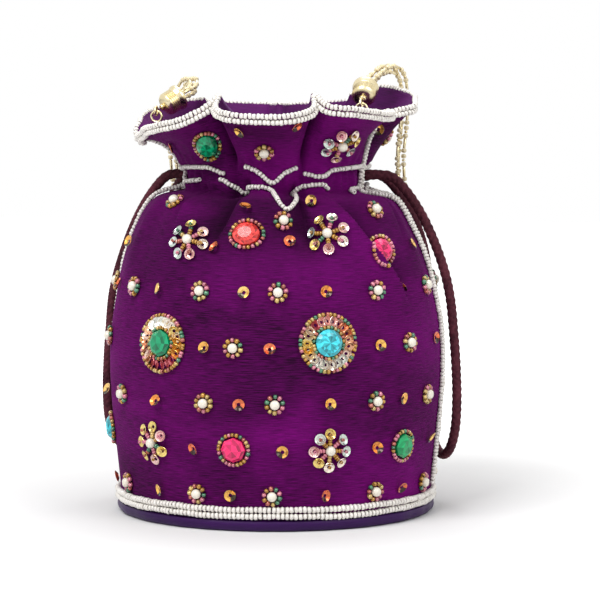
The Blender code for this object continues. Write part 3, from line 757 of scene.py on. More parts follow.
def bugle_tube():
    """A slim tube bead one unit long and a third wide, with rounded ends."""
    deselect()
    bpy.ops.mesh.primitive_cylinder_add(vertices=8, radius=0.17, depth=1.0)
    tube = bpy.context.object
    edit()
    pick_faces(tube, lambda face: len(face.vertices) > 4)
    bpy.ops.mesh.inset(thickness=0.05, depth=0.04)
    bpy.ops.mesh.inset(thickness=0.03, depth=-0.05)
    done()
    return take(tube)


def cup_sequin(uneven_glint, dark_reflection_half):
    """A sequin one unit wide: a shallow bevelled cup with a hole, opening along +Z."""
    deselect()
    bpy.ops.mesh.primitive_circle_add(vertices=14, radius=0.5, fill_type="NGON")
    cup = bpy.context.object
    edit()
    bpy.ops.mesh.inset(thickness=0.19, depth=0)
    bpy.ops.transform.translate(value=(0, 0, -0.13))
    bpy.ops.mesh.inset(thickness=0.14, depth=0)
    bpy.ops.transform.translate(value=(0, 0, -0.03))
    bpy.ops.mesh.delete(type="FACE")
    done()
    thicken(cup, 0.03)
    # Its faces get painted glints, and a painted dark reflection over the dark half
    return take(cup, smooth=False, uneven_glint=uneven_glint, seed=5, dark_reflection_half=dark_reflection_half)


def cut_stone(sides, seed, table=0.52):
    """A faceted stone one unit wide that lies on z = 0 with its table up."""
    deselect()
    bpy.ops.mesh.primitive_cylinder_add(vertices=sides, radius=0.5, depth=0.16, location=(0, 0, 0.08))
    stone = bpy.context.object
    bpy.ops.object.transform_apply(location=True, rotation=True, scale=True)
    edit()
    pick_faces(stone, lambda face: face.normal.z > 0.5)
    step = (0.5 - 0.5 * table) / 2
    bpy.ops.mesh.inset(thickness=step, depth=0)
    bpy.ops.transform.translate(value=(0, 0, 0.13))
    bpy.ops.mesh.inset(thickness=step, depth=0)
    bpy.ops.transform.translate(value=(0, 0, 0.06))
    bpy.ops.mesh.poke(offset=0.004)
    bpy.ops.mesh.select_all(action="SELECT")
    bpy.ops.mesh.quads_convert_to_tris(quad_method="FIXED_ALTERNATE")
    done()
    # Painted glints: each facet brighter or darker at random, in place of sparkle
    return take(stone, smooth=False, uneven_glint=0.6, seed=seed)


SEED = seed_bead()
BALL = pearl_ball()
BUGLE = bugle_tube()
# Gold cups: strong painted glints and a painted dark reflection 52 degrees each side of -Y; clear cups: weak
# painted glints only
CUP = cup_sequin(0.35, 52)
CLEAR_CUP = cup_sequin(0.18, 0)
ROUND_STONE = cut_stone(16, 11)
STEP_STONE = cut_stone(8, 23, 0.6)

Copy = namedtuple("Copy", "shape place tint look")


def strew(name, copies, looks):
    """One mesh of many copies of the modelled shapes, each with its tint and finish."""
    verts, corners, starts, smooth, tints, finish = [], [], [], [], [], []
    vert_count = corner_count = 0
    for copy in copies:
        shape = copy.shape
        m = np.array(copy.place)
        verts.append(shape.co @ m[:3, :3].T + m[:3, 3])
        corners.append(shape.corners + vert_count)
        starts.append(shape.starts + corner_count)
        smooth.append(np.full(len(shape.starts), shape.smooth))
        finish.append(np.full(len(shape.starts), looks.index(copy.look), np.int32))
        # The tint is the copy's own colour times its shape's painted glints and painted dark reflection
        colour = np.outer(shape.shade, np.array(copy.tint[:3]))
        tints.append(np.hstack([colour, np.ones((len(colour), 1))]))
        vert_count += len(shape.co)
        corner_count += len(shape.corners)
    mesh = bpy.data.meshes.new(name)
    mesh.vertices.add(vert_count)
    mesh.vertices.foreach_set("co", np.concatenate(verts).ravel())
    mesh.loops.add(corner_count)
    mesh.loops.foreach_set("vertex_index", np.concatenate(corners))
    mesh.polygons.add(sum(len(s) for s in starts))
    mesh.polygons.foreach_set("loop_start", np.concatenate(starts))
    for look in looks:
        mesh.materials.append(look)
    mesh.polygons.foreach_set("material_index", np.concatenate(finish))
    mesh.update(calc_edges=True)
    mesh.validate()
    mesh.polygons.foreach_set("use_smooth", np.concatenate(smooth))
    tint = mesh.color_attributes.new("tint", "FLOAT_COLOR", "CORNER")
    tint.data.foreach_set("color", np.concatenate(tints).ravel())
    return new_piece(name, mesh)


def stand(origin, up, size, across=None, spin=0.0):
    """A placement with its own Z along a direction and a size for each axis."""
    turn = up.to_track_quat("Z", "Y").to_matrix()
    if across is not None:
        side = (across - up * across.dot(up)).normalized()
        turn = Matrix((side, up.cross(side), up)).transposed()
    sizes = Matrix.Diagonal(Vector(size if isinstance(size, tuple) else (size,) * 3))
    return Matrix.Translation(origin) @ (turn @ Matrix.Rotation(spin, 3, "Z") @ sizes).to_4x4()


def shade_of(rng, colour, spread):
    k = 1 + spread * (rng.random() * 2 - 1)
    return tuple(c * k for c in colour[:3])


def threaded(line, diameter, pitch, rng):
    """White beads side by side along a line of points."""
    copies = []
    spots = evenly(line, pitch)
    for a, b in zip(spots, spots[1:]):
        way = (b - a).normalized()
        way = (way + Vector([rng.uniform(-0.16, 0.16) for _ in range(3)])).normalized()
        middle = (a + b) / 2 + Vector([rng.uniform(-BEAD_STRAY, BEAD_STRAY) for _ in range(3)])
        size = diameter * rng.uniform(0.92, 1.06)
        long = min(pitch * 0.98, diameter * 0.8) / 0.68 * rng.uniform(0.9, 1.0)
        tint = shade_of(rng, srgb(250, 246, 240), 0.05)
        place = stand(middle, way, (size, size, long), spin=rng.random() * 6)
        copies.append(Copy(SEED, place, tint, WHITE_BEAD))
    return copies


# Cords
BRAID_AROUND = 32
BRAID_YARNS = 4
BRAID_TURN = 0.0150


def braid(name, route, diameter, node_name):
    """A round braid of eight yarns: its skin rises where a yarn passes over and sinks between them."""
    line = curve_through(route, 0.00055)
    radius = diameter / 2
    side, along = Vector((0, 0, 1)), 0.0
    bm = bmesh.new()
    rows = []
    for i, point in enumerate(line):
        way = (line[min(i + 1, len(line) - 1)] - line[max(i - 1, 0)]).normalized()
        side = (side - way * side.dot(way)).normalized()
        other = way.cross(side)
        if i:
            along += (point - line[i - 1]).length
        row = []
        for k in range(BRAID_AROUND):
            t = k / BRAID_AROUND
            a = (BRAID_YARNS * t + along / BRAID_TURN * BRAID_YARNS) % BRAID_YARNS
            b = (BRAID_YARNS * t - along / BRAID_TURN * BRAID_YARNS) % BRAID_YARNS
            u, v = (a % 1, b % 1) if (int(a) + int(b)) % 2 == 0 else (b % 1, a % 1)
            height = (1 - (2 * u - 1) ** 2) * 0.75 + 0.25 * math.sin(math.pi * v)
            end = min(1.0, min(i, len(line) - 1 - i) / 3 + 0.75)
            r = radius * (0.80 + 0.20 * height) * end
            spot = point + side * r * math.cos(2 * math.pi * t) + other * r * math.sin(2 * math.pi * t)
            row.append(bm.verts.new(spot))
        rows.append(row)
    uv = bm.loops.layers.uv.new("UVMap")
    for i, (low, high) in enumerate(zip(rows, rows[1:])):
        for k in range(BRAID_AROUND):
            j = (k + 1) % BRAID_AROUND
            face = bm.faces.new((low[k], low[j], high[j], high[k]))
            u0, u1, v0, v1 = k / BRAID_AROUND, (k + 1) / BRAID_AROUND, i * 0.03, (i + 1) * 0.03
            for loop, spot in zip(face.loops, ((u0, v0), (u1, v0), (u1, v1), (u0, v1))):
                loop[uv].uv = spot
    for row in (rows[0][::-1], rows[-1]):
        bm.faces.new(row)
    bmesh.ops.recalc_face_normals(bm, faces=bm.faces)
    mesh = bpy.data.meshes.new(name)
    bm.to_mesh(mesh)
    bm.free()
    mesh.materials.append(CORD)
    mesh.shade_smooth()
    piece = new_piece(name, mesh)
    fit(piece, "cord", "bag", node_name)
    tuple(line[0])
    round(measured(line)[0], 3)
    [tuple(p) for p in line[::2]]


def drawstrings():
    for side, label in ((1, "right"), (-1, "left")):
        route = []
        for i, (r, a, rise) in enumerate(CORD_ROUTE):
            if i in (0, len(CORD_ROUTE) - 1):
                r = velvet_at(side * a, TOP - 0.5).to_2d().length + CORD_SEAT
            x, y = side * r * math.sin(math.radians(a)), -r * math.cos(math.radians(a))
            route.append((x, y, NECK_HEIGHT + rise))
        braid(f"drawstring_braid_{label}", route, CORD_DIAMETER, f"drawstring_{label}")


drawstrings()

# Velvet and the cloth inside it
AROUND = 344
UP = 124
FRONT_SHARE = 0.64
FINE_FROM = 1.6
FINE_ROWS = 1.9


def cloth_levels(count):
    """Levels of the rows, each row's place along the cloth, and the cloth's length."""
    tries = np.linspace(0, RIM, 600)
    line = [velvet_at(6.0, float(level)) for level in tries]
    steps = np.array([0.0] + [(b - a).length for a, b in zip(line, line[1:])])
    dense = np.cumsum(steps * np.where(tries > FINE_FROM, FINE_ROWS, 1.0))
    levels = np.interp(np.linspace(0, dense[-1], count), dense, tries)
    along = np.cumsum(steps)
    return levels, np.interp(levels, tries, along) / along[-1], along[-1]


LEVELS, ROW_SHARES, CLOTH_LENGTH = cloth_levels(UP + 1)


def column_share(u):
    """Where a column lies round the bag, as a share of the full turn from the left seam."""
    if u < FRONT_SHARE:
        return 0.5 * u / FRONT_SHARE
    return 0.5 + 0.5 * (u - FRONT_SHARE) / (1 - FRONT_SHARE)


def velvet():
    """A flat sheet, sewn into a tube at its side, gathered at the casing and flared above it."""
    deselect()
    bpy.ops.mesh.primitive_grid_add(x_subdivisions=AROUND, y_subdivisions=UP, size=1.0, calc_uvs=True)
    sheet = bpy.context.object
    sheet.name = "velvet_cloth"
    # Painted shade of the shoulder, its folds and the tuck, kept on each point
    painted_shade = sheet.data.attributes.new("painted_shade", "FLOAT", "POINT")
    for vert in sheet.data.vertices:
        u, v = vert.co.x + 0.5, vert.co.y + 0.5
        angle = -90 + 360 * column_share(u)
        vert.co = cloth_at(angle, float(LEVELS[round(v * UP)]))
        painted_shade.data[vert.index].value = painted_fold_shade(angle, vert.co.z)
    for corner in sheet.data.uv_layers[0].data:
        corner.uv = (column_share(corner.uv.x), float(ROW_SHARES[round(corner.uv.y * UP)]))
    edit()
    bpy.ops.mesh.remove_doubles(threshold=0.00005)
    bpy.ops.mesh.normals_make_consistent(inside=False)
    done()
    bm = bmesh.new()
    bm.from_mesh(sheet.data)
    if sum(face.normal.xy.dot(face.calc_center_median().xy) for face in bm.faces) < 0:
        bmesh.ops.reverse_faces(bm, faces=bm.faces)
        bm.to_mesh(sheet.data)
    tree = BVHTree.FromBMesh(bm)
    bm.free()
    sheet.data.materials.append(VELVET)
    sheet.data.materials.append(INNER)
    thicken(sheet, CLOTH_WALL, inner_slot=1)
    bpy.ops.object.shade_smooth()
    fit(sheet, "velvet", "bag", "velvet_body")
    return tree


CLOTH = velvet()

LINING_WALL = 0.0006
LINING_IN = 0.0034
LINING_LOW = HEM_HEIGHT + 0.0008
LINING_FOOT = 0.0812
LINING_THROAT = NECK_RADIUS - LINING_IN - CLOTH_WALL - 0.0050 - 4 * GAP - 0.0012


def lining():
    """A thin satin pouch inside the velvet, gathered with it at the neck."""
    outline = [(0.002, LINING_LOW), (0.030, LINING_LOW), (LINING_FOOT - 0.004, LINING_LOW)]
    outline.append((LINING_FOOT, LINING_LOW + 0.004))
    for level in (0.5, 1, 1.4, 1.75, 2.1, 2.5):
        radius, height = profile(level)
        pleat = pleat_at(level)
        inside = 0.0062 * blend(level / 1.4) * blend((3.2 - level) / 0.8)
        outline.append((radius - LINING_IN - 1.3 * pleat - inside, height - 1.5 * pleat))
    outline.append((LINING_THROAT + 0.006, NECK_HEIGHT - 0.011))
    outline += [(LINING_THROAT, NECK_HEIGHT), (LINING_THROAT, NECK_HEIGHT + CASING_WIDTH)]
    line = evenly([Vector((r, 0, z)) for r, z in outline], 0.0035)

    deselect()
    bpy.ops.mesh.primitive_grid_add(
        x_subdivisions=180, y_subdivisions=len(line) - 1, size=1.0, calc_uvs=True
    )
    sheet = bpy.context.object
    sheet.name = "lining_pouch"
    for vert in sheet.data.vertices:
        u, i = vert.co.x + 0.5, round((vert.co.y + 0.5) * (len(line) - 1))
        a, point = 2 * math.pi * u, line[i]
        high = blend((point.z - 0.10) / 0.07)
        radius = point.x * (1 - 0.022 * high * (1 + math.sin(31 * a + 2 * math.sin(5 * a))))
        vert.co = (radius * math.sin(a), -radius * math.cos(a), point.z)
    edit()
    bpy.ops.mesh.remove_doubles(threshold=0.00002)
    done()
    sheet.data.materials.append(LINING)
    thicken(sheet, LINING_WALL, offset=0.0)
    bpy.ops.object.shade_smooth()
    fit(sheet, "lining_satin", "bag", "lining")
    length = measured(line)[0]
    area = sum(math.pi * (a.x + b.x) * (b - a).length for a, b in zip(line, line[1:]))
    width = 2 * math.pi * LINING_FOOT
    area = min(area, width * length)


def turned(name, outline, segments, place, look):
    """A turned piece: an outline stood in the XZ plane and spun about Z."""
    mesh = bpy.data.meshes.new(name)
    mesh.from_pydata([(r, 0, z) for r, z in outline], [(i, i + 1) for i in range(len(outline) - 1)], [])
    piece = new_piece(name, mesh)
    activate(piece)
    edit()
    bpy.ops.mesh.spin(steps=segments, angle=2 * math.pi, center=(0, 0, 0), axis=(0, 0, 1))
    bpy.ops.mesh.select_all(action="SELECT")
    bpy.ops.mesh.remove_doubles(threshold=0.00002)
    bpy.ops.mesh.normals_make_consistent(inside=False)
    done()
    piece.data.transform(place)
    piece.data.materials.clear()
    piece.data.materials.append(look)
    activate(piece)
    bpy.ops.object.shade_smooth_by_angle(angle=math.radians(35))
    return piece


def base_cover():
    """The satin-covered base: a low drum with a rounded underside and faint pulls in the cloth."""
    round_top = 0.72 * BASE_HEIGHT
    outline = [(0, 0)]
    for k in range(9):
        turn = math.radians(90 * k / 8)
        inward = BASE_ROUNDING * (1 - math.sin(turn) ** 0.7)
        outline.append((BASE_RADIUS - inward, round_top * (1 - math.cos(turn))))
    outline += [(BASE_RADIUS - 0.0005, 0.88 * BASE_HEIGHT), (HEM_RADIUS, BASE_HEIGHT)]
    outline += [(HEM_RADIUS - 0.0012, BASE_HEIGHT), (HEM_RADIUS - 0.0012, 0.0020), (0, 0.0020)]
    drum = turned("base_cover_satin", outline, 180, Matrix.Identity(4), SATIN)
    for vert in drum.data.vertices:
        radius = vert.co.xy.length
        if radius > BASE_RADIUS - BASE_ROUNDING + 0.0004 and 0.0002 < vert.co.z < BASE_HEIGHT - 0.0006:
            a = math.atan2(vert.co.y, vert.co.x)
            pull = 0.00020 * math.sin(29 * a + 3 * math.sin(4 * a)) + 0.0001 * math.sin(67 * a)
            vert.co.xy *= (radius + pull - 0.0001) / radius
    for layer in list(drum.data.uv_layers):
        drum.data.uv_layers.remove(layer)
    uv = drum.data.uv_layers.new(name="UVMap")
    for face in drum.data.polygons:
        for corner in face.loop_indices:
            co = drum.data.vertices[drum.data.loops[corner].vertex_index].co
            centre = math.atan2(face.center.y, face.center.x)
            a = math.atan2(co.y, co.x)
            a += 2 * math.pi * round((centre - a) / (2 * math.pi))
            if abs(face.normal.z) > 0.9:
                uv.data[corner].uv = (co.x / 0.5 + 0.5, co.y / 0.5 + 0.5)
            else:
                uv.data[corner].uv = (a / (2 * math.pi), co.z / 0.27)
    fit(drum, "base_satin", "bag", "base_cover")


lining()
base_cover()
for inner_node, look in (("base_board", CARD), ("casing_cord", YARN)):
    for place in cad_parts[inner_node].material_slots:
        place.material = look


# Rows of white beads
def row_line(level_of, lift):
    """A line round the cloth at a level for each angle, lifted off it."""
    line = []
    for angle in np.arange(-90, 270.01, ROW_STEP):
        level = level_of(angle)
        line.append(cloth_at(angle, level) + facing(angle, level) * lift)
    return line


def lay_rows(name, lines, bead, rng, node_name):
    """One piece of white beads threaded along some lines, in place of its solid."""
    copies = [copy for line in lines for copy in threaded(line, *bead, rng)]
    fit(strew(name, copies, [WHITE_BEAD]), "white_bead", "bag", node_name)


def sewn_wave(angle, name):
    """How far a hand-sewn row of the base strays up or down."""
    a = math.radians(angle) + (0.7 if name == "lower" else 0.0)
    stray = 0.00018 * math.sin(9 * a) + 0.00012 * math.sin(23 * a + 1.0)
    sag = math.exp(-(((angle - 42) / 16) ** 2)) if name == "lower" else 0.0
    return stray - 0.0007 * sag


def base_rows(rng):
    for name, height in (("lower", 0.0081), ("upper", 0.0115)):
        line = row_line(
            lambda angle: level_at(angle, height + sewn_wave(angle, name)), BASE_BEAD[0] / 2 - 0.0002
        )
        lay_rows(f"base_bead_row_{name}", [line], BASE_BEAD, rng, f"base_beads_{name}")


def rim_rows(rng):
    bead = RIM_BEAD[0]
    rim = [
        cloth_at(angle, RIM) - facing(angle, RIM) * CLOTH_WALL * 0.30 + Vector((0, 0, bead * 0.18))
        for angle in np.arange(-90, 270.01, ROW_STEP)
    ]
    outer = row_line(lambda angle: RIM - 0.044, bead * 0.40)
    lay_rows("ruffle_bead_edge", [rim, outer], RIM_BEAD, rng, "ruffle_beads")


def casing_rows(rng):
    for half, start, end in (("front", -86, 86), ("back", 94, 266)):
        for row, heights in (("lower", LOWER_ROW), ("upper", UPPER_ROW)):
            lines = [[]]
            for angle in np.arange(start, end + 0.1, 0.5):
                if any(low < angle < high for low, high in ROW_GAPS.get((row, half), ())):
                    lines.append([])
                    continue
                level = level_at(angle, row_height(heights, angle))
                lines[-1].append(cloth_at(angle, level) + facing(angle, level) * CASING_BEAD[0] * 0.45)
            lines = [line for line in lines if len(line) > 2]
            lay_rows(f"casing_bead_row_{row}_{half}", lines, CASING_BEAD, rng, f"casing_beads_{row}_{half}")


def seam_rows(rng):
    for name, angle, shifts in (("right", 90.0, (-0.0013, 0.0013)), ("left", -90.0, (-0.0046, -0.0021))):
        lines = []
        for shift in shifts:
            line = []
            for level in np.linspace(level_at(angle, 0.0150), RIM - 0.08, 150):
                beside = angle + math.degrees(shift / max(0.03, cloth_at(angle, level).xy.length))
                over = 0.0010 * blend(1 - abs(level - (TOP - 0.5)) / 2)
                line.append(cloth_at(beside, level) + facing(beside, level) * (SEAM_BEAD[0] / 2 + over))
            lines.append(line)
        lay_rows(f"seam_bead_band_{name}", lines, SEAM_BEAD, rng, f"seam_beads_{name}")


def bead_rows():
    rng = random.Random(41)
    base_rows(rng)
    rim_rows(rng)
    casing_rows(rng)
    seam_rows(rng)


bead_rows()


# Embroidery: sizes of the pearls, beads, sequins and stones, and how far they lie from their middle
FLOWER_BEADS = 10
FLOWER_RADIUS = 0.0042
FLOWER_PEARL = 0.0053
MOTIF_BEAD = 0.0027
LOOSE_SEQUIN = 0.0062
STAR_PEARL = 0.0054
STAR_BEADS = (0.0036, 0.0052, 0.0067)
STAR_REACH = 0.0090
STAR_SEQUIN = 0.0058
STAR_TIP = 0.0019
GEM_SIZE = 0.0130
GEM_BEAD = 0.0024
GEM_BEADS = 24
MEDALLION_STONE = (0.0142, 0.0142, 0.0125)
MEDALLION_INNER = (0.0081, 26, 0.0023)
MEDALLION_OUTER = (0.0148, 44, 0.0025)
MEDALLION_REACH = 0.0114
MEDALLION_SEQUIN = 0.0056
MEDALLION_SEQUINS = 21
# The sequins' colours in a medallion's quarters: top, right, bottom and left
MEDALLION_TINTS = (
    (srgb(232, 126, 136), srgb(246, 206, 200), srgb(214, 110, 120)),
    (srgb(246, 190, 150), srgb(244, 214, 196), srgb(226, 150, 110)),
    (srgb(248, 240, 226), srgb(238, 232, 226), srgb(226, 232, 224)),
    (srgb(246, 222, 130), srgb(248, 236, 200), srgb(240, 190, 90)),
)
FINE_STEP = 0.004


class Spot:
    """A place on the cloth, with its own way out, up and across."""

    def __init__(self, hit, normal, outside):
        if normal.dot(outside) < 0:
            normal = -normal
        steps = ((1, 0, 0), (-1, 0, 0), (0, 0, 1), (0, 0, -1))
        around = [CLOTH.find_nearest(hit + Vector(step) * FINE_STEP)[1] for step in steps]
        around = [found if found.dot(normal) > 0 else -found for found in around]
        self.out = (normal + sum(around, Vector())).normalized()
        self.up = (Vector((0, 0, 1)) - self.out * self.out.z).normalized()
        self.across = self.up.cross(self.out)
        self.point = hit

    def touch(self, x, y):
        """The point beside the middle, and where the cloth lies under it."""
        flat = self.point + self.across * x + self.up * y
        return flat, CLOTH.ray_cast(flat + self.out * 0.012, -self.out, 0.018)

    def at(self, x, y, rise):
        """A point over the cloth at a distance from the middle."""
        flat, hit = self.touch(x, y)
        return (hit[0] or flat) + self.out * rise

    def facing(self, x, y):
        """The cloth's own way out at a distance from the middle."""
        normal = self.touch(x, y)[1][1]
        if normal is None:
            return self.out
        return (self.out * 0.4 + (normal if normal.dot(self.out) > 0 else -normal)).normalized()

    def way(self, degrees):
        x, y = polar(1.0, degrees)
        return self.across * x + self.up * y


def polar(radius, degrees):
    turn = math.radians(degrees)
    return radius * math.sin(turn), radius * math.cos(turn)


def spot_at(angle, height):
    x, y = polar(1.0, angle)
    out = Vector((x, -y, 0))
    return Spot(*CLOTH.ray_cast(Vector((0, 0, height)) + out * 0.2, -out)[:2], out)


def spot_seen(x, y):
    way = sight(x, y)
    hit, normal = CLOTH.ray_cast(CAMERA_PLACE, way)[:2]
    return Spot(hit, normal, -way) if hit else None


def spot_of(node_name):
    low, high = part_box(node_name)
    hit, normal = CLOTH.find_nearest((low + high) / 2)[:2]
    return Spot(hit, normal, Vector((hit.x, hit.y, 0)))


def pearl_on(spot, size, rise, rng):
    return Copy(BALL, stand(spot.at(0, 0, rise), spot.out, size), shade_of(rng, IVORY, 0.04), PEARL)


def bead_ring(spot, ring, rng, tall=1.0, wide=1.0, rise=0.5, start=0.0, colours=BEAD_MIX):
    """Beads sewn round a middle, lying along the ring; a ring is its radius, count and bead size."""
    radius, count, size = ring
    copies = []
    for k in range(count):
        degrees = start + 360 * k / count + rng.uniform(-2, 2)
        x, y = polar(radius, degrees)
        centre = spot.at(wide * x, tall * y, size * rise)
        along = (spot.way(degrees + 90) + spot.out * rng.uniform(-0.2, 0.2)).normalized()
        d = size * rng.uniform(0.9, 1.08)
        place = stand(centre, along, (d, d, d * 1.15), spin=rng.random() * 6)
        copies.append(Copy(SEED, place, shade_of(rng, rng.choice(colours), 0.2), BEAD))
    return copies


def sequin_copy(shape, spot, x, y, size, rise, tilt, lean, colours, rng):
    """A cup sequin tipped by an angle towards a direction."""
    tilt = math.radians(tilt)
    out = (spot.facing(x, y) * math.cos(tilt) + spot.way(lean) * math.sin(tilt)).normalized()
    centre = spot.at(x, y, rise + 0.5 * size * abs(math.sin(tilt)))
    place = stand(centre, out, size, spot.across, spin=rng.uniform(-0.9, 0.9))
    return Copy(shape, place, shade_of(rng, rng.choice(colours), 0.12), SEQUIN)


def flower(spot, rng):
    """A pearl in a ring of coloured beads."""
    copies = bead_ring(spot, (FLOWER_RADIUS, FLOWER_BEADS, MOTIF_BEAD), rng, start=rng.random() * 40)
    return [*copies, pearl_on(spot, FLOWER_PEARL, 0.0020, rng)]


def single_sequin(spot, rng):
    tilt, lean = rng.uniform(8, 34), rng.uniform(0, 360)
    return [sequin_copy(CUP, spot, 0, 0, LOOSE_SEQUIN, 0.0011, tilt, lean, SEQUIN_GOLD, rng)]


def starburst(spot, rng, arms, start):
    """Bead arms about a pearl, each ending in a clear cup sequin."""
    copies = [pearl_on(spot, STAR_PEARL, 0.0022, rng)]
    for k in range(arms):
        degrees = start + 360 * k / arms + rng.uniform(-5, 5)
        first, second = rng.choice(BEAD_MIX), rng.choice(BEAD_MIX)
        along = (spot.way(degrees) + spot.out * 0.1).normalized()
        for reach, colour in zip(STAR_BEADS, (first, first, second)):
            centre = spot.at(*polar(reach, degrees), 0.0012)
            place = stand(centre, along, MOTIF_BEAD, spin=rng.random() * 6)
            copies.append(Copy(SEED, place, shade_of(rng, colour, 0.15), BEAD))
        x, y = polar(STAR_REACH, degrees)
        tilt = rng.uniform(8, 34)
        copies.append(
            sequin_copy(CLEAR_CUP, spot, x, y, STAR_SEQUIN, 0.0013, tilt, degrees, SEQUIN_CLEAR, rng)
        )
        tip = stand(spot.at(x * 0.97, y * 0.97, 0.0029), spot.out, STAR_TIP)
        copies.append(Copy(SEED, tip, shade_of(rng, second, 0.15), BEAD))
    return copies


def ringed_stone(spot, rng, colour, wide, tall, shape):
    """A faceted stone held by one ring of beads."""
    half = GEM_SIZE / 2
    ring = (half + 0.0015, GEM_BEADS, GEM_BEAD)
    copies = bead_ring(spot, ring, rng, tall, wide, 0.55)
    seat = [spot.at(half * math.sin(t), half * math.cos(t), 0) for t in (0, 1.57, 3.14, 4.71)]
    over = max(0.0, *((spot.point - p).dot(spot.out) for p in seat))
    size = (GEM_SIZE * wide, GEM_SIZE * tall, GEM_SIZE * 0.95)
    place = stand(spot.point + spot.out * (0.0003 - over * 0.3), spot.out, size, spot.across)
    return [*copies, Copy(shape, place, colour[:3], STONE)]


def medallion(spot, rng, colour, shape, first):
    """A large stone in an inner ring of beads, a fan of standing sequins and an outer ring."""
    copies = bead_ring(spot, MEDALLION_INNER, rng, rise=0.7, colours=(AMBER, PALE_GOLD, COPPER, LEAF))
    copies += bead_ring(spot, MEDALLION_OUTER, rng)
    for k in range(MEDALLION_SEQUINS):
        degrees = 360 * k / MEDALLION_SEQUINS + rng.uniform(-3, 3)
        x, y = polar(MEDALLION_REACH, degrees)
        tints = MEDALLION_TINTS[(first + int((degrees + 45) % 360 // 90)) % 4]
        tilt = rng.uniform(18, 36)
        copies.append(
            sequin_copy(CLEAR_CUP, spot, x, y, MEDALLION_SEQUIN, 0.0004, tilt, degrees + 80, tints, rng)
        )
    place = stand(spot.point + spot.out * 0.0004, spot.out, MEDALLION_STONE, spot.across)
    return [*copies, Copy(shape, place, colour[:3], STONE)]


EMERALD = srgb(0, 150, 100)
TURQUOISE = srgb(60, 200, 215)
HOT_PINK = srgb(240, 40, 110)
CORAL = srgb(245, 70, 66)
GREEN = srgb(10, 160, 95)


def node_motifs():
    rng = random.Random(7)
    looks = [BEAD, STONE, SEQUIN, PEARL]
    for name, colour, shape, first in (
        ("front_left", EMERALD, STEP_STONE, 2),
        ("front_right", TURQUOISE, ROUND_STONE, 0),
        ("back_left", HOT_PINK, ROUND_STONE, 1),
        ("back_right", EMERALD, STEP_STONE, 3),
    ):
        copies = medallion(spot_of(f"medallion_stone_{name}"), rng, colour, shape, first)
        piece = strew(f"medallion_{name}", copies, looks)
        fit(piece, "beadwork", "bag", f"medallion_ring_{name}", f"medallion_stone_{name}")
    for name, colour, wide, tall, shape in (
        ("shoulder_left", CORAL, 1.12, 0.94, ROUND_STONE),
        ("shoulder_right", HOT_PINK, 1.0, 1.0, ROUND_STONE),
        ("low_left", TURQUOISE, 1.0, 1.0, ROUND_STONE),
        ("low_middle", HOT_PINK, 1.0, 1.0, STEP_STONE),
        ("low_right", GREEN, 1.0, 1.0, STEP_STONE),
        ("back_shoulder_left", TURQUOISE, 1.0, 1.0, ROUND_STONE),
        ("back_shoulder_right", CORAL, 1.0, 1.0, ROUND_STONE),
        ("back_low", GREEN, 1.0, 1.0, STEP_STONE),
        ("ruffle", EMERALD, 0.86, 1.1, ROUND_STONE),
    ):
        copies = ringed_stone(spot_of(f"gem_{name}"), rng, colour, wide, tall, shape)
        fit(strew(f"ringed_stone_{name}", copies, looks), "stone", "bag", f"gem_{name}")
    for name, arms, start in (
        ("shoulder_left", 7, 0),
        ("shoulder_right", 7, 15),
        ("low_left", 7, 10),
        ("low_right", 8, 0),
        ("back_shoulder", 7, 0),
        ("back_low_left", 8, 12),
        ("back_low_right", 7, 5),
        ("ruffle", 7, 25),
    ):
        copies = starburst(spot_of(f"star_{name}"), rng, arms, start)
        fit(strew(f"starburst_{name}", copies, looks), "beadwork", "bag", f"star_{name}")


# Scattered flowers and sequins: a height, and its angles with f for a flower or s for a sequin
ROWS = (
    (0.1690, "-44f 28s 150f 176s 208f 246f"),
    (0.1672, "-2.5s"),
    (0.1605, "12.9f"),
    (0.1500, "15s"),
    (0.1650, "57f 120f"),
    (0.1465, "-65s -14s 73s 130s 168s 196s 236s"),
    (
        0.1245,
        "-80f -66s -50f -35s -17f -1s 10.7f 27.5s 46.6f 60s 77f "
        "104f 120s 136f 152s 167f 181s 196f 211s 227f 243s 258f",
    ),
    (0.0960, "-69f -14s -4f 8s 46.6s 60.4f 80s 104s 120f 133s 171s 180f 189s 227s 241f 256s"),
    (
        0.0670,
        "-71.8s -54.5f -33.2s -14.3f -2s 9.6f 28s 45.2f 57.3s 72.5f "
        "107f 122s 137f 152s 167f 180s 193f 208s 223f 238s 254f",
    ),
    (0.0425, "-19s 12s 46.4s 78.6s 108f 126s 163s 197s 231s 249f"),
    (
        0.0187,
        "-73s -56.6f -35s -18.5f -5.9s 8.6f 27.3s 47f 59.9s 76.3f "
        "106f 121s 137f 152s 168f 182s 197f 212s 228f 243s 257f",
    ),
)
# On the ruffle's front, where the picture shows them
RUFFLE_FRONT = (
    (173, 146, "s"), (240, 130, "s"), (264, 151, "f"), (296, 125, "s"), (377, 128, "s"), (391, 136, "s"),
    (411, 148, "s"),
)
RUFFLE_BACK = (0.2030, "112f 128s 162f 176s 206f 220s 250f")


def scattered():
    rng = random.Random(19)
    flowers, sequins = {"front": [], "back": []}, {"front": [], "back": []}

    def add(kind, spot, half):
        if kind == "f":
            flowers[half] += flower(spot, rng)
        else:
            sequins[half] += single_sequin(spot, rng)

    def add_row(height, row):
        for word in row.split():
            angle = float(word[:-1])
            add(word[-1], spot_at(angle, height), "front" if angle < 90 else "back")

    for height, row in ROWS:
        add_row(height, row)
    for x, y, kind in RUFFLE_FRONT:
        spot = spot_seen(x, y)
        if spot:
            add(kind, spot, "front")
    add_row(*RUFFLE_BACK)
    for half in ("front", "back"):
        fit(strew(f"flowers_{half}", flowers[half], [BEAD, PEARL]), "beadwork", "bag")
        fit(strew(f"sequins_{half}", sequins[half], [SEQUIN]), "beadwork", "bag")


node_motifs()
scattered()


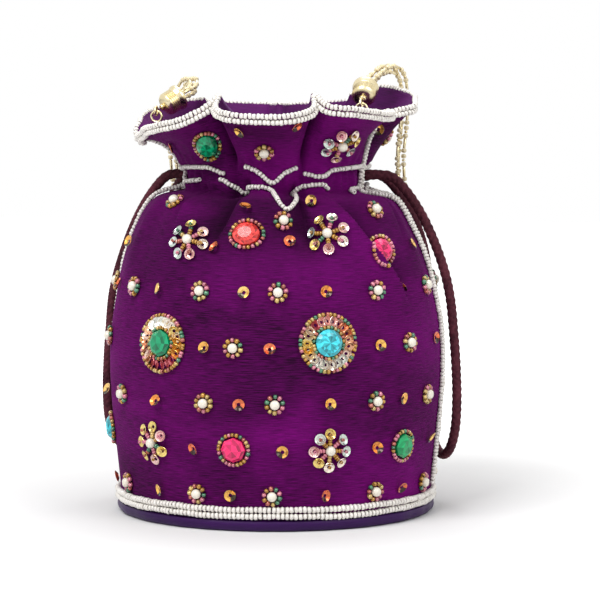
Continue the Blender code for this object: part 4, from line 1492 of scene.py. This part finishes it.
# Handle: radius and wire of its rings, and the parts of a strand with their length and size
SEWN_RING = (0.0030, 0.0014)
JUMP_RING = (0.0024, 0.0013)
STRAND_PARTS = {
    "pearl": (BALL, 0.0031, 0.0030, PEARL),
    "tube": (BUGLE, 0.0052, 0.0052, GOLD),
    "bead": (SEED, 0.0014, 0.0020, GOLD),
}
STRAND_ORDER = ("pearl", "pearl", "tube", "pearl", "bead")


def cap_outline():
    """A bell cap: a knob, a step, three ribs round its barrel, and a beaded mouth."""
    s, e = CAP_START, CAP_START + CAP_LENGTH
    line = [(0, s), (0.0010, s), (0.0017, s + 0.0004), (0.0020, s + 0.0011), (0.0017, s + 0.0018)]
    line += [(0.0034, s + 0.0021), (0.0052, s + 0.0027), (0.0063, s + 0.0040)]
    for k in range(21):
        t = k / 20
        line.append((0.0061 + 0.00042 * math.cos(4 * 2 * math.pi * t), s + 0.0046 + 0.0050 * t))
    line += [(0.0066, e - 0.0031), (0.0072, e - 0.0020), (0.0072, e - 0.0006), (0.0069, e)]
    line += [(0.0060, e), (0.0060, e - 0.0038), (0, e - 0.0038)]
    return line


def loop_of_wire(name, centre, normal, size, node_name, body):
    deselect()
    bpy.ops.mesh.primitive_torus_add(
        major_segments=32, minor_segments=10, major_radius=size[0], minor_radius=size[1] / 2
    )
    ring = bpy.context.object
    ring.name = name
    ring.data.transform(stand(centre, normal, 1.0))
    ring.data.materials.append(GOLD)
    activate(ring)
    bpy.ops.object.shade_smooth()
    fit(ring, "gold", body, node_name)


def handle():
    axis = (LINK_RIGHT - LINK_LEFT).normalized()
    up = (Vector((0, 0, 1)) - axis * axis.z).normalized()
    ends = []
    for side, link, way in (("left", LINK_LEFT, CAP_WAY_LEFT), ("right", LINK_RIGHT, CAP_WAY_RIGHT)):
        low = link - up * SEWN_RING[0]
        loop_of_wire(f"sewn_ring_{side}", low, axis.cross(up), SEWN_RING, f"handle_ring_{side}", "bag")
        loop_of_wire(f"jump_ring_{side}", link, axis, JUMP_RING, f"handle_eye_{side}", "handle")
        cap = turned(f"bell_cap_{side}", cap_outline(), 40, stand(link, way, 1.0), GOLD)
        fit(cap, "gold", "handle", f"handle_cap_{side}")
        ends.append(link + way * (CAP_START + CAP_LENGTH))
    left, right = ends
    route = [left + CAP_WAY_LEFT * 0.0030, *(Vector(p) for p in STRAND_ROUTE)]
    route.append(right + CAP_WAY_RIGHT * 0.0030)
    centre = [left - CAP_WAY_LEFT * 0.0037, *curve_through(route, 0.0020), right - CAP_WAY_RIGHT * 0.0037]
    middle = Vector((0, 0.03, 0.17))
    rng = random.Random(3)
    for k in range(3):
        turn = 2 * math.pi * k / 3
        line = []
        for i, point in enumerate(centre):
            way = (centre[min(i + 1, len(centre) - 1)] - centre[max(i - 1, 0)]).normalized()
            across = way.cross(point - middle).normalized()
            out = across.cross(way)
            beside = across * math.cos(turn) + out * math.sin(turn)
            line.append(point + beside * STRAND_SPACING / math.sqrt(3))
        strand(k, line, rng)


def strand(k, line, rng):
    """Pearls and slim gold tubes threaded along a line, with a small gold bead between them."""
    end, on = measured(line)
    copies, at, step = [], 0.0015 * k, k
    while at < end - 0.0008:
        shape, length, size, look = STRAND_PARTS[STRAND_ORDER[step % len(STRAND_ORDER)]]
        a, b = on(at), on(min(at + length, end))
        tint = shade_of(rng, CREAM, 0.05) if look is PEARL else (1, 1, 1)
        copies.append(Copy(shape, stand((a + b) / 2, (b - a).normalized(), size), tint, look))
        at += length + 0.00005
        step += 1
    fit(strew(f"pearl_strand_{k + 1}", copies, [PEARL, GOLD]), "pearl", "handle", f"handle_strand_{k + 1}")


handle()


# Floor and light
FLOOR_TONE = (0.88, 0.88, 0.88, 1)
FLOOR_GLOW_FAR = 0.75
ROOM_LIGHT = 0.34
LAMPS = (
    ("key", (-0.55, -1.1, 1.5), 1.0, 22.0),
    ("side", (1.1, -0.8, 1.1), 0.9, 8.0),
    ("top", (0.0, 0.5, 1.6), 1.0, 9.0),
)


def lay_floor():
    """A pale floor that keeps the bag's shadow and fades to the white of the room away from it."""
    deselect()
    bpy.ops.mesh.primitive_plane_add(size=6.0, location=(0, 0, -0.0002))
    floor = bpy.context.object
    floor.name = "floor"
    look, tree, shader = new_material("pale_floor")
    seen = node(tree, "ShaderNodeLightPath")["Is Camera Ray"]
    where = node(tree, "ShaderNodeTexCoord")["Object"]
    far = node(tree, "ShaderNodeVectorMath", {0: where}, operation="LENGTH")["Value"]
    reach = {"Value": far, "From Min": 0.10, "From Max": 0.60, "To Min": 0.0, "To Max": FLOOR_GLOW_FAR}
    fade = node(tree, "ShaderNodeMapRange", reach)["Result"]
    glow = node(tree, "ShaderNodeMath", {0: seen, 1: fade}, operation="MULTIPLY")[0]
    feed(tree, shader, {"Base Color": FLOOR_TONE, "Roughness": 0.9, "Specular IOR Level": 0.1})
    feed(tree, shader, {"Emission Color": (1, 1, 1, 1), "Emission Strength": glow})
    floor.data.materials.append(look)


def light_room():
    """A white room to the eye, in reflections and through glass, and a dimmer light for the rest."""
    world = bpy.data.worlds.new("studio")
    bpy.context.scene.world = world
    world.use_nodes = True
    tree = world.node_tree
    path = node(tree, "ShaderNodeLightPath")
    seen = path["Is Camera Ray"]
    for ray in ("Is Glossy Ray", "Is Transmission Ray"):
        seen = node(tree, "ShaderNodeMath", {0: seen, 1: path[ray]}, operation="MAXIMUM")[0]
    strength = node(tree, "ShaderNodeMapRange", {"To Min": ROOM_LIGHT, "To Max": 1.0, "Value": seen})
    feed(tree, tree.nodes["Background"], {"Strength": strength["Result"], "Color": (1, 1, 1, 1)})
    for name, place, size, power in LAMPS:
        aim = (Vector((0, 0, 0.1)) - Vector(place)).to_track_quat("-Z", "Y")
        bpy.ops.object.light_add(type="AREA", location=place, rotation=aim.to_euler())
        lamp = bpy.context.object
        lamp.name = name
        lamp.data.energy = power
        lamp.data.size = size


lay_floor()
light_room()
bpy.context.scene.view_settings.view_transform = "Standard"
